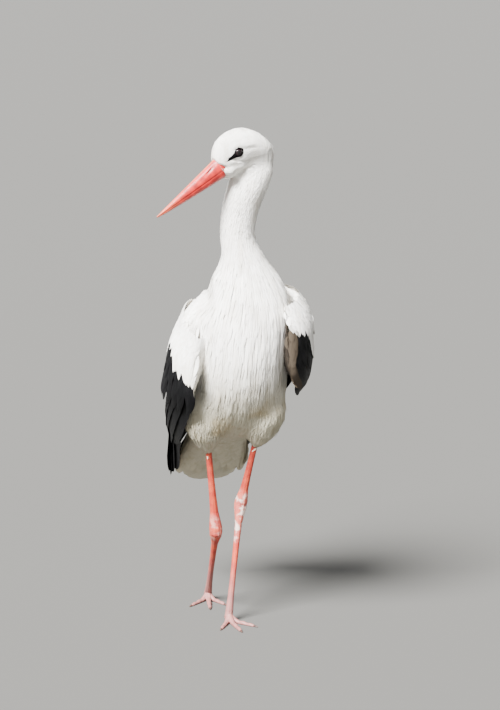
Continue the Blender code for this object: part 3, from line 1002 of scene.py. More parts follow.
class Skin:
    """One skin over head, neck, trunk, tail, thighs and wings, and what lies on it.

    The outer surface is where the coat ends. The skin has the same faces and lies inside it
    by the coat's depth.
    """

    VOXEL = 0.0034
    EVENING = 7  # rounds that take the voxels' steps out
    UNWRAP_ANGLE, UNWRAP_MARGIN = math.radians(66), 0.003
    SOURCES = (*FLESH, "eye_left", "eye_right")
    TAIL_SHORTER, TAIL_THINNER = 0.35, 0.45
    THIGH_THINNER, THIGH_LENGTH = 0.32, 0.075
    SHOULDER_IN, SHOULDER_DOWN = 0.0135, 0.0060
    HEAD_MIDDLE = (0.060, -0.008)  # back and up, in head space
    NAPE_NARROWER = 0.17

    def __init__(self, anatomy: Anatomy, table: CoatTable) -> None:
        """Builds the outer surface, its fields and the skin."""
        self.anatomy, self.table = anatomy, table
        source = merged_copy("stork_skin", tuple(anatomy.nodes[n] for n in self.SOURCES))
        labels = BVHTree.FromObject(source, bpy.context.evaluated_depsgraph_get())
        self.face_region = self.label_faces(source)
        remesh(source, self.VOXEL)
        main_shell(source)
        self.piece, self.mesh = source, source.data
        self.edges = mesh_edges(self.mesh)
        points = evened(mesh_points(self.mesh), self.edges, self.EVENING)
        self.region = self.read_regions(labels, points)
        points = self.low_shoulder(self.slim_thighs(self.short_tail(points)))
        points = self.fitted_nape(points)
        points = self.sculpted_head(self.joined_softly(points))
        move_points(self.mesh, points)
        self.outer = mesh_points(self.mesh)
        self.outer_normals = mesh_points(self.mesh, "normal")
        self.tree = BVHTree.FromPolygons(
            self.outer.tolist(), [list(f.vertices) for f in self.mesh.polygons]
        )
        self.fields = self.make_fields()
        self.sink()
        self.read_faces()

    def label_faces(self, source: Object) -> Array:
        """The region of each face of the joined copy, in the order the nodes were joined."""
        kinds = [*FLESH.values(), Region.HEAD, Region.HEAD]
        counts = [len(self.anatomy.nodes[name].data.polygons) for name in self.SOURCES]
        labels = np.repeat([kind.value for kind in kinds], counts)
        if len(labels) != len(source.data.polygons):
            raise RuntimeError("the joined flesh lost some faces")
        return labels

    def read_regions(self, labels: BVHTree, points: Array) -> Array:
        """The region of each vertex, from the nearest face of the solids."""
        faces = [labels.find_nearest(point)[2] for point in points.tolist()]
        return self.face_region[np.array(faces)]

    def short_tail(self, points: Array) -> Array:
        """Draws the skin's tail in under the fan of tail feathers."""
        ends = np.array([TAIL_START + 0.3, TAIL_END])
        back, belly, _ = self.anatomy.body.sections(ends)
        root, tip = (back + belly) / 2
        way = tip - root
        share = (points - root) @ way / (way @ way)
        centre = root + share[:, None] * way
        inward = 1 - self.TAIL_THINNER * smoothstep(0.3, 1.0, share)[:, None]
        drawn = share - self.TAIL_SHORTER * np.maximum(share, 0.0)
        shorter = root + drawn[:, None] * way
        behind = (share > 0.0)[:, None] & (points[:, 2:] < 0.40)
        return np.where(behind, shorter + (points - centre) * inward, points)

    def low_shoulder(self, points: Array) -> Array:
        """Lays the top of the right wing's wrist into the line of the neck and breast."""
        out, height = -points[:, 0], points[:, 2]
        share = smoothstep(0.655, 0.705, height) * smoothstep(0.040, 0.068, out)
        share = share * (1 - smoothstep(0.735, 0.765, height))
        lowered = points.copy()
        lowered[:, 0] += self.SHOULDER_IN * share
        lowered[:, 2] -= self.SHOULDER_DOWN * share
        return lowered

    def slim_thighs(self, points: Array) -> Array:
        """Draws each thigh in towards its bare leg below."""
        on_thigh = self.region == Region.THIGH.value
        middle = self.anatomy.body.shift[0] + 0.01
        for side, sign in SIDES:
            top = self.anatomy.node_centre(f"thigh_{side}")
            way = unit(self.anatomy.node_centre(f"tarsus_{side}") - top)
            along = (points - top) @ way
            axis = top + along[:, None] * way
            chosen = on_thigh & (np.sign(points[:, 0] - middle) == sign)
            low = smoothstep(0.0, self.THIGH_LENGTH, along)
            drawn = 1 - self.THIGH_THINNER * low * chosen
            points = axis + (points - axis) * drawn[:, None]
        return points

    def joined_softly(self, points: Array) -> Array:
        """Fills the creases where head, thighs and shoulders join the body."""
        one, other = self.region[self.edges].T
        for pair, rounds, reach, lowest in (
            ({Region.HEAD.value, Region.BODY.value}, 70, 16, 0.0),
            ({Region.THIGH.value, Region.BODY.value}, 60, 14, 0.0),
            ({Region.WING.value, Region.BODY.value}, 120, 20, 0.640),
        ):
            crossing = np.isin(one, list(pair)) & np.isin(other, list(pair))
            crossing &= one != other
            near = np.zeros(len(points))
            near[self.edges[crossing].ravel()] = 1.0
            near *= points[:, 2] > lowest
            near = np.clip(relaxed(near, self.edges, reach) * 5.0, 0.0, 1.0)[:, None]
            for _ in range(rounds):
                points = points + (relaxed(points, self.edges, 1, 0.8) - points) * near
        return points

    def fitted_nape(self, points: Array) -> Array:
        """Rounds the back of the head and carries it on into the nape."""
        local = self.anatomy.to_head(points)
        from_centre = local[:, 1:] - np.array(self.HEAD_MIDDLE)
        angle = np.degrees(np.arctan2(from_centre[:, 1], from_centre[:, 0]))
        push = np.interp(angle, *zip(*HEAD_FIT))
        push *= smoothstep(0.032, 0.055, np.linalg.norm(from_centre, axis=1))
        push *= (self.region != Region.WING.value) & (local[:, 1] < 0.17)
        local[:, 1:] += unit(from_centre) * push[:, None]
        rear = smoothstep(0.070, 0.118, local[:, 1]) * smoothstep(-0.075, -0.040, local[:, 2])
        local[:, 0] *= 1 - self.NAPE_NARROWER * rear
        near = (local[:, 1] < 0.17) & (local[:, 2] > -0.12)
        return np.where(near[:, None], self.anatomy.from_head(local), points)

    def sculpted_head(self, points: Array) -> Array:
        """Adds brow, cheek, gape lobe, lores and throat to the head's plain shape."""
        local = self.anatomy.to_head(points)
        side, back, up = local.T

        def off_line(start: tuple, end: tuple) -> Array:
            """The distance from a line between two places on the head's side."""
            way = np.array(end) - start
            share = np.clip((local[:, 1:] - start) @ way / (way @ way), 0.0, 1.0)
            return np.linalg.norm(local[:, 1:] - start - share[:, None] * way, axis=1)

        near = (self.region == Region.HEAD.value) * (1 - smoothstep(0.105, 0.135, back))
        flank = smoothstep(0.005, 0.014, np.abs(side)) * near
        behind_eye = 0.0123 - 0.43 * (back - 0.055)
        faded = 1 - smoothstep(0.066, 0.098, back)
        groove = hump(0.0, 0.0056, up - behind_eye) * smoothstep(0.048, 0.060, back) * faded
        brow = hump(0.0, 0.0110, up - behind_eye - 0.0090) * smoothstep(0.028, 0.048, back)
        lobe = hump(0.0, 0.0155, np.hypot(back - 0.0100, (up + 0.0160) * 0.92))
        below = hump(0.0, 0.0160, np.hypot(back - 0.0115, up + 0.0225))
        ridge = hump(0.0, 0.0095, off_line((0.009, -0.0115), (0.0385, -0.0195)))
        jaw = hump(0.0, 0.0060, off_line((0.018, -0.0265), (0.060, -0.0330)))
        fold = hump(0.0, 0.0042, off_line((0.0202, 0.0114), (0.0522, -0.0180)))
        pouch = hump(0.0, 0.0100, np.hypot(back - 0.040, up + 0.0065))
        socket = hump(0.0, 0.016, np.hypot(back - LOOK_BACK, up - LOOK_UP))
        push = 0.0011 * brow * faded - 0.0011 * groove + 0.0047 * lobe + 0.0026 * ridge
        push = push - 0.0024 * jaw - 0.0022 * fold + 0.0012 * pouch - 0.0015 * socket
        outward = np.zeros_like(local)
        outward[:, 0] = np.sign(side) * push * flank
        outward[:, 2] = -0.0044 * below * near
        edge = np.interp(up, *zip(*FACE_EDGE))
        self.bare = smoothstep(0.0010, -0.0010, back - edge) * (up < 0.0165) * near
        height = np.where(up > MOUTH_LINE, (up - MOUTH_LINE) / 0.0245, (MOUTH_LINE - up) / 0.019)
        inside = 0.0126 * np.sqrt(np.clip(1 - height**2, 0.02, 1.0))
        outward[:, 0] -= np.sign(side) * np.maximum(np.abs(side) - inside, 0) * self.bare
        return points + self.anatomy.head_direction(outward)

    def make_fields(self) -> Fields:
        """Works out the lie, size and depth of the coat at each vertex."""
        anatomy, table, points = self.anatomy, self.table, self.outer
        station = np.arange(0.0, TAIL_END + 0.01, 0.15)
        turn = np.linspace(-math.pi, math.pi, 40, endpoint=False)
        places, angles = (grid.ravel() for grid in np.meshgrid(station, turn))
        samples = anatomy.body.points(places, angles)
        ahead = anatomy.body.points(places + 0.05, angles) - samples
        tree = search_tree(samples.tolist())
        nearest = np.array([tree.find(point)[1] for point in points.tolist()])
        place = places[nearest]
        front = (1 - np.cos(angles[nearest])) / 2
        flow = unit(ahead)[nearest]
        local = anatomy.to_head(points)
        on_head = self.region == Region.HEAD.value
        radial = local - np.array([0.0, -0.030, -0.004])
        radial[:, 0] *= 0.75
        down = smoothstep(0.055, 0.105, local[:, 1])[:, None]
        head_flow = unit(anatomy.head_direction(unit(radial)))
        neck_flow = unit(flow + np.array([0.0, 0.0, -0.3]))
        head_flow = unit(head_flow * (1 - down) + neck_flow * down)
        flow = np.where(on_head[:, None], head_flow, flow)
        place = np.where(on_head, 0.0, place)
        on_thigh = self.region == Region.THIGH.value
        for side, sign in SIDES:
            way = anatomy.node_centre(f"tarsus_{side}") - anatomy.node_centre(f"thigh_{side}")
            chosen = on_thigh & (np.sign(points[:, 0] - anatomy.body.shift[0] - 0.01) == sign)
            flow[chosen] = way / np.linalg.norm(way)
        flow = unit(relaxed(flow, self.edges, 14))
        flow = flow - self.outer_normals * (flow * self.outer_normals).sum(1)[:, None]
        flow = unit(relaxed(unit(flow), self.edges, 6))
        on_wing = self.region == Region.WING.value
        length, width, depth = table.sizes(place, front)
        head_share = smoothstep(0.0, 0.10, local[:, 1])
        for values, rows in ((length, table.head_length), (width, table.head_width)):
            values[on_head] = (rows[0] + (rows[1] - rows[0]) * head_share)[on_head]
        depth[on_head] = table.head_depth
        length[on_thigh], width[on_thigh], depth[on_thigh] = table.thigh
        length[on_wing], width[on_wing] = table.wing
        least, step, last_step = table.wing_depth
        depth[on_wing] = least + step * smoothstep(6.5, 7.2, place[on_wing])
        depth[on_wing] += last_step * smoothstep(7.6, 8.2, place[on_wing])
        lift = np.select([on_head, on_thigh], table.lift[:2], table.lift[2])
        layers = np.where(on_head, *table.layers)
        nape = on_head & (local[:, 1] > 0.100) & (local[:, 2] < 0.004)
        length[nape], width[nape], lift[nape] = table.nape
        mark = np.zeros(len(points))
        for rows in WINGS:
            ours = on_wing & (np.sign(points[:, 0] - anatomy.body.shift[0]) == rows.sign)
            # painted shade with some soil: the wing's faces below 0.66 m that turn towards the
            # flank are browned
            under = self.outer_normals[:, 0] * rows.sign < -0.25
            mark[ours & under] = rows.stain * smoothstep(0.66, 0.60, points[ours & under, 2])
            behind = place > rows.white_end(front * 0 + 0.2) - 0.1
            mark[ours & behind & ~under] = 1.0
        packed = np.stack([length, width, depth, lift, layers, place, front, mark], axis=1)
        packed = relaxed(packed, self.edges, 8)
        length, width, depth, lift, layers, place, front, mark = packed.T
        return Fields(self.region, place, front, flow, length, width, depth, lift, layers, mark)

    def sink(self) -> None:
        """Moves the skin in by the coat's depth, less where the body is thin."""
        wall = []
        for point, normal in zip(self.outer.tolist(), self.outer_normals):
            way = Vector(-normal)
            hit = self.tree.ray_cast(Vector(point) + way * 2e-4, way, 0.05)
            wall.append(hit[3] if hit[0] is not None else 0.05)
        reach = np.minimum(self.fields.depth, 0.30 * np.array(wall))
        reach = relaxed(reach, self.edges, 4)
        inner = self.outer - self.outer_normals * reach[:, None]
        move_points(self.mesh, relaxed(inner, self.edges, 2, 0.3))

    def read_faces(self) -> None:
        """Unwraps the skin and keeps its faces, areas and bake coordinates."""
        pick_only(self.piece)
        for old in list(self.mesh.uv_layers):
            self.mesh.uv_layers.remove(old)
        self.mesh.uv_layers.new(name=BAKE_MAP)
        bpy.ops.object.mode_set(mode="EDIT")
        bpy.ops.mesh.select_all(action="SELECT")
        bpy.ops.uv.smart_project(angle_limit=self.UNWRAP_ANGLE, island_margin=self.UNWRAP_MARGIN)
        bpy.ops.object.mode_set(mode="OBJECT")
        self.mesh = self.piece.data
        self.mesh.shade_smooth()
        polygons = self.mesh.polygons
        corners = np.empty(len(polygons) * 4, int)
        polygons.foreach_get("vertices", corners)
        self.quads = corners.reshape(-1, 4)
        sheet = np.empty(len(self.mesh.loops) * 2)
        self.mesh.uv_layers[BAKE_MAP].data.foreach_get("uv", sheet)
        self.quad_sheet = sheet.reshape(-1, 4, 2)
        a, b, c, d = (self.outer[self.quads[:, k]] for k in range(4))
        crossed = np.cross(c - a, d - b)
        self.area = np.linalg.norm(crossed, axis=1) / 2
        self.normal = unit(crossed)

    def on_faces(self, values: Array) -> Array:
        """The mean of vertex values on each face."""
        return values[self.quads].mean(axis=1)

    def bake_roots(self, points: Array) -> Array:
        """Bake coordinates of the faces nearest to places."""
        faces = [self.tree.find_nearest(point)[2] for point in points.tolist()]
        return self.quad_sheet[np.array(faces)].mean(axis=1)


# ---- feathers
class Outline(Enum):
    """A feather's outline: (share of its length, share of its half width), root to tip. The
    tail's two have a broad, round end."""

    LANCE = ((0.0, 0.0), (0.2, 0.62), (0.45, 1.0), (0.72, 0.80), (0.9, 0.36), (1.0, 0.0))
    TUFT = ((0.0, 0.0), (0.3, 0.9), (0.62, 1.0), (0.86, 0.62), (1.0, 0.0))
    ROUND = ((0.0, 0.0), (0.2, 0.66), (0.5, 1.0), (0.78, 0.98), (0.93, 0.62), (1.0, 0.0))
    COVERT = (
        (0.0, 0.0), (0.15, 0.60), (0.35, 0.95), (0.52, 1.0), (0.70, 0.86), (0.84, 0.58),
        (0.94, 0.28), (1.0, 0.0)
    )
    QUILL = (
        (0.0, 0.0), (0.06, 0.45), (0.16, 0.80), (0.28, 0.95), (0.40, 1.0), (0.52, 1.0),
        (0.64, 1.0), (0.75, 0.98), (0.84, 0.88), (0.91, 0.68), (0.96, 0.44), (1.0, 0.0)
    )
    RECTRIX = (
        (0.0, 0.0), (0.10, 0.40), (0.25, 0.70), (0.45, 0.92), (0.65, 1.0), (0.80, 1.0),
        (0.89, 0.93), (0.95, 0.76), (0.985, 0.46), (1.0, 0.0)
    )
    PLUME = (
        (0.0, 0.0), (0.15, 0.60), (0.40, 0.95), (0.65, 1.0), (0.82, 0.86), (0.93, 0.56),
        (1.0, 0.0)
    )


THREE_SIDED = ((-1.0, 0.0), (0.0, 1.0), (1.0, 0.0))
FIVE_SIDED = ((-1.0, 0.0), (-0.52, 0.78), (0.0, 1.0), (0.52, 0.78), (1.0, 0.0))


class Vane:
    """One feather's shape as a small closed mesh of triangles."""

    def __init__(self, outline: Outline, section: tuple) -> None:
        """Bends a grid round the section and along the outline."""
        rows = outline.value
        built = bmesh.new()
        bmesh.ops.create_grid(built, x_segments=len(section), y_segments=len(rows) - 1, size=0.5)
        around = [round((v.co.x + 0.5) * len(section)) % len(section) for v in built.verts]
        along = [round((v.co.y + 0.5) * (len(rows) - 1)) for v in built.verts]
        for vert, side, row in zip(built.verts, around, along):
            across, height = section[side]
            half = rows[row][1]
            vert.co = (across * half, row, height * (1.0 if half else 0.0))
        bmesh.ops.remove_doubles(built, verts=built.verts, dist=1e-6)
        bmesh.ops.triangulate(built, faces=built.faces)
        face_outward(built)
        built.verts.ensure_lookup_table()
        shape = np.array([v.co[:] for v in built.verts])
        self.shares = np.array([share for share, _ in rows])
        self.ring = np.round(shape[:, 1]).astype(int)
        self.across, self.height = shape[:, 0], shape[:, 2]
        self.triangles = np.array([[v.index for v in f.verts] for f in built.faces])
        self.sheet = np.stack([self.across / 2 + 0.5, self.shares[self.ring]], axis=1)
        first, second, third = (shape[self.triangles[:, k]] for k in range(3))
        upward = np.cross(second - first, third - first)[:, 2]
        self.facing = np.where(upward < -1e-9, -1.0, 1.0)  # the flat underside looks down
        built.free()


@dataclass
class Feathers:
    """Centre lines and sizes of a lot of feathers, one row for each feather."""

    centre: Array
    side: Array
    normal: Array
    half_width: Array
    thickness: Array
    tint: Array
    mark: Array  # 0 white, 0.5 painted shade in brown with some soil, 1 black
    root: Array  # bake coordinates of the root

    def chosen(self, mask: Array) -> "Feathers":
        """Only some of the feathers."""
        return Feathers(*(getattr(self, key)[mask] for key in self.__dataclass_fields__))


class FeatherMaker:
    """Turns centre lines into joined meshes, in pieces below the limit of triangles."""

    MOST_TRIANGLES = 190_000

    def __init__(
        self, slot: str, replaces: tuple[str, ...] = (), roundness: float = 0.30
    ) -> None:
        """Keeps the record's slot, the nodes that the first piece replaces, and how round
        each vane looks across."""
        self.slot, self.replaced, self.roundness = slot, replaces, roundness

    def make(self, name: str, vane: Vane, feathers: Feathers, finish: Material) -> None:
        """Makes as many pieces as it takes.

        Args:
            name: the pieces' common name.
            vane: the shape of each feather.
            feathers: where they lie.
            finish: the material.
        """
        total = len(feathers.half_width)
        most = self.MOST_TRIANGLES // len(vane.triangles)
        parts = max(1, math.ceil(total / most))
        for part in range(parts):
            mask = np.arange(total) % parts == part
            label = name if parts == 1 else f"{name}_{part + 1}"
            piece = self.piece(label, vane, feathers.chosen(mask), finish)
            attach(piece, "root")
            if part == 0 and self.replaced:
                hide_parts(*self.replaced)
        log.info("%s: %d feathers in %d pieces", name, total, parts)

    def piece(self, name: str, vane: Vane, feathers: Feathers, finish: Material) -> Object:
        """Makes one joined mesh."""
        count, size = len(feathers.half_width), len(vane.ring)
        across = (vane.across[None] * feathers.half_width[:, None])[..., None]
        height = (vane.height[None] * feathers.thickness[:, None])[..., None]
        points = feathers.centre[:, vane.ring]
        points = points + feathers.side[:, vane.ring] * across
        points = points + feathers.normal[:, vane.ring] * height
        offsets = (np.arange(count) * size)[:, None, None]
        corners = (vane.triangles[None] + offsets).reshape(-1)
        mesh = bpy.data.meshes.new(name)
        mesh.vertices.add(count * size)
        mesh.vertices.foreach_set("co", points.ravel())
        mesh.loops.add(len(corners))
        mesh.loops.foreach_set("vertex_index", corners)
        mesh.polygons.add(len(corners) // 3)
        mesh.polygons.foreach_set("loop_start", np.arange(0, len(corners), 3))
        mesh.update(calc_edges=True)
        mesh.shade_smooth()
        local = vane.sheet[vane.triangles.ravel()]
        bake = feathers.root[:, None] + (local[None] - 0.5) * BAKE_PATCH
        for layer, values in ((BAKE_MAP, bake), (VANE_MAP, np.tile(local, (count, 1)))):
            mesh.uv_layers.new(name=layer).data.foreach_set(
                "uv", values.reshape(-1).astype(np.float32)
            )
        add_numbers(mesh, "tint", np.repeat(feathers.tint, size))
        add_numbers(mesh, "mark", np.repeat(feathers.mark, size))
        mesh.materials.append(finish)
        rounded = vane.across[None, :, None] * self.roundness
        soft = unit(feathers.normal[:, vane.ring] + feathers.side[:, vane.ring] * rounded)
        soft = soft[:, vane.triangles.ravel()] * np.repeat(vane.facing, 3)[None, :, None]
        mesh.normals_split_custom_set(soft.reshape(-1, 3).astype(np.float32))
        return new_object(name, mesh)


class Plumage:
    """Scatters feathers over the skin and lets each follow the lie of the coat."""

    TRIES, CLOSEST = 3.2, 0.80  # roots tried for each that fits, and the spacing they keep
    SHORT, LONG = 0.78, 1.2  # how much lengths vary
    STEEP = 0.35  # the least agreement of normals on which a centre line stays down
    LOCK = (75, 75, 8)  # how fast the locks of feathers change along each axis, per metre

    def __init__(self, skin: Skin) -> None:
        """Keeps the skin and reads its fields on faces."""
        self.skin, fields, mean = skin, skin.fields, skin.on_faces
        self.length, self.width, self.depth = map(mean, (fields.length, fields.width, fields.depth))
        self.lift, self.layers, self.mark = map(mean, (fields.lift, fields.layers, fields.mark))
        self.place, self.front = mean(fields.place), mean(fields.front)
        self.flow, self.middle = unit(mean(fields.flow)), mean(skin.outer)
        self.region = fields.region[skin.quads[:, 0]]
        self.shift = skin.anatomy.body.shift[0]

    def tracts(self) -> tuple:
        """The coat's parts: name, faces, vane and how far directions stray."""
        head = (self.region == Region.HEAD.value) | (self.place < 0.5)
        head &= (self.region != Region.WING.value) & (self.skin.on_faces(self.skin.bare) < 0.3)
        thigh = self.region == Region.THIGH.value
        wing = self.region == Region.WING.value
        outward = self.skin.normal[:, 0] * np.sign(self.middle[:, 0] - self.shift) > 0.0
        wing_edge = wing & (self.place < np.where(outward, 6.7, 7.4))
        tail = (self.place > 12.1) & ~head & ~thigh & ~wing
        hackle = ~(head | thigh | wing | tail) & (self.place < 8.6)
        hackle &= (self.front > 0.30) | (self.place < 5.2)
        rest = ~(head | thigh | wing | tail | hackle)
        tuft, lance = Vane(Outline.TUFT, THREE_SIDED), Vane(Outline.LANCE, THREE_SIDED)
        round_vane = Vane(Outline.ROUND, THREE_SIDED)
        return (
            ("head_feathers", head, tuft, 5.0),
            ("neck_and_breast_hackles", hackle, lance, 5.0),
            ("body_feathers", rest, round_vane, 7.0),
            ("thigh_feathers", thigh, lance, 8.0),
            ("wing_edge_feathers", wing_edge, round_vane, 6.0),
        )

    def scatter(self, rng: Chance, allowed: Array) -> tuple[Array, Array, Array]:
        """Picks roots that keep an even distance from each other.

        Args:
            rng: the source of chance.
            allowed: which faces may carry roots.

        Returns:
            Root positions on the outer surface, their faces and bake coordinates.
        """
        skin = self.skin
        spacing = np.sqrt(self.length * self.width / self.layers)
        weight = np.where(allowed, skin.area / spacing**2, 0.0)
        tries = int(weight.sum() * self.TRIES)
        face = rng.choice(len(weight), tries, p=weight / weight.sum())
        u, v = rng.random((2, tries, 1))
        shares = ((1 - u) * (1 - v), u * (1 - v), u * v, (1 - u) * v)
        corners = skin.quads[face]
        point = sum(skin.outer[corners[:, k]] * shares[k] for k in range(4))
        sheet = sum(skin.quad_sheet[face, k] * shares[k] for k in range(4))
        reach = spacing[face] * self.CLOSEST
        kept = np.array(spaced(point.tolist(), range(tries), reach))
        return point[kept], face[kept], sheet[kept]

    def grow(self, rng: Chance, allowed: Array, vane: Vane, stray: float = 7.0) -> Feathers:
        """Marches a centre line from each root.

        Args:
            rng: the source of chance.
            allowed: which faces may carry roots.
            vane: the shape, for the places of its rings.
            stray: how far directions stray, in degrees.

        Returns:
            The feathers.
        """
        skin = self.skin
        root, face, sheet = self.scatter(rng, allowed)
        count = len(root)
        length = self.length[face] * rng.uniform(self.SHORT, self.LONG, count)
        sink = self.depth[face] * 0.75
        lock = [stream(Vector(place)) for place in (root * self.LOCK).tolist()]
        lift = self.lift[face] * (rng.gamma(1.3, 0.5, count) + 1.8 * np.array(lock))
        flow = self.flow[face]
        normal = skin.normal[face]
        turn = np.radians(rng.normal(0.0, stray, count))[:, None]
        way = flow * np.cos(turn) + np.cross(normal, flow) * np.sin(turn)
        bow = np.radians(rng.normal(0.0, stray * 0.8, count))[:, None]
        centres, normals, sides = [root], [normal], [unit(np.cross(way, normal))]
        at = root
        for gap in np.diff(vane.shares):
            ahead = at + way * (length * gap)[:, None]
            hits = [skin.tree.find_nearest(place) for place in ahead.tolist()]
            landed = np.array([hit[0] for hit in hits])
            new_face = np.array([hit[2] for hit in hits])
            new_normal = skin.normal[new_face]
            turned = (new_normal * normal).sum(1) < self.STEEP
            far = np.linalg.norm(landed - ahead, axis=1) > length * gap * 0.9
            straight = (turned | far)[:, None]
            at = np.where(straight, ahead, landed)
            normal = unit(np.where(straight, normal, new_normal * 0.6 + normal * 0.4))
            there = np.where(straight, way, self.flow[new_face])
            way = way * 0.6 + there * 0.4
            way = way + np.cross(normal, way) * np.tan(bow * gap)
            way = unit(way - normal * (way * normal).sum(1)[:, None])
            centres.append(at)
            normals.append(normal)
            sides.append(unit(np.cross(way, normal)))
        centre, normal = np.stack(centres, 1), np.stack(normals, 1)
        rise = 1 - (1 - vane.shares[None]) ** 1.7
        height = -sink[:, None] + (sink + lift)[:, None] * rise
        centre = centre + normal * height[..., None]
        half_width = self.width[face] / 2 * rng.uniform(0.85, 1.15, count)
        side, thickness = np.stack(sides, 1), np.clip(half_width * 0.12, 0.00016, 0.0005)
        # painted shade with random tone: the tint rises with the lock that also lifts a feather, so
        # lower feathers come out greyer
        tint = np.clip(0.55 + 0.5 * np.array(lock) + rng.normal(0, 0.2, count), 0, 1)
        return Feathers(
            centre, side, normal, half_width, thickness, tint, self.mark[face], sheet
        )


# ---- wings
@dataclass(frozen=True)
class CovertPlan:
    """Sizes of rows of coverts, at their front and at their rear, in metres."""

    length: tuple
    width: tuple
    step: tuple  # from row to row, as a share of the way, and how it grows
    reach: float  # across the rows
    lift: float
    mark: float


class CovertKind(Enum):
    """The rows of coverts on a wing."""

    WHITE = CovertPlan((0.016, 0.070), (0.0100, 0.0185), (0.030, 0.045), 0.165, 0.0003, 0.0)
    BLACK = CovertPlan((0.058, 0.058), (0.0175, 0.0175), (0.20, 0.0), 0.165, -0.0012, 1.0)
    LINING = CovertPlan((0.020, 0.026), (0.0080, 0.0095), (0.05, 0.02), 0.040, 0.0008, 0.0)


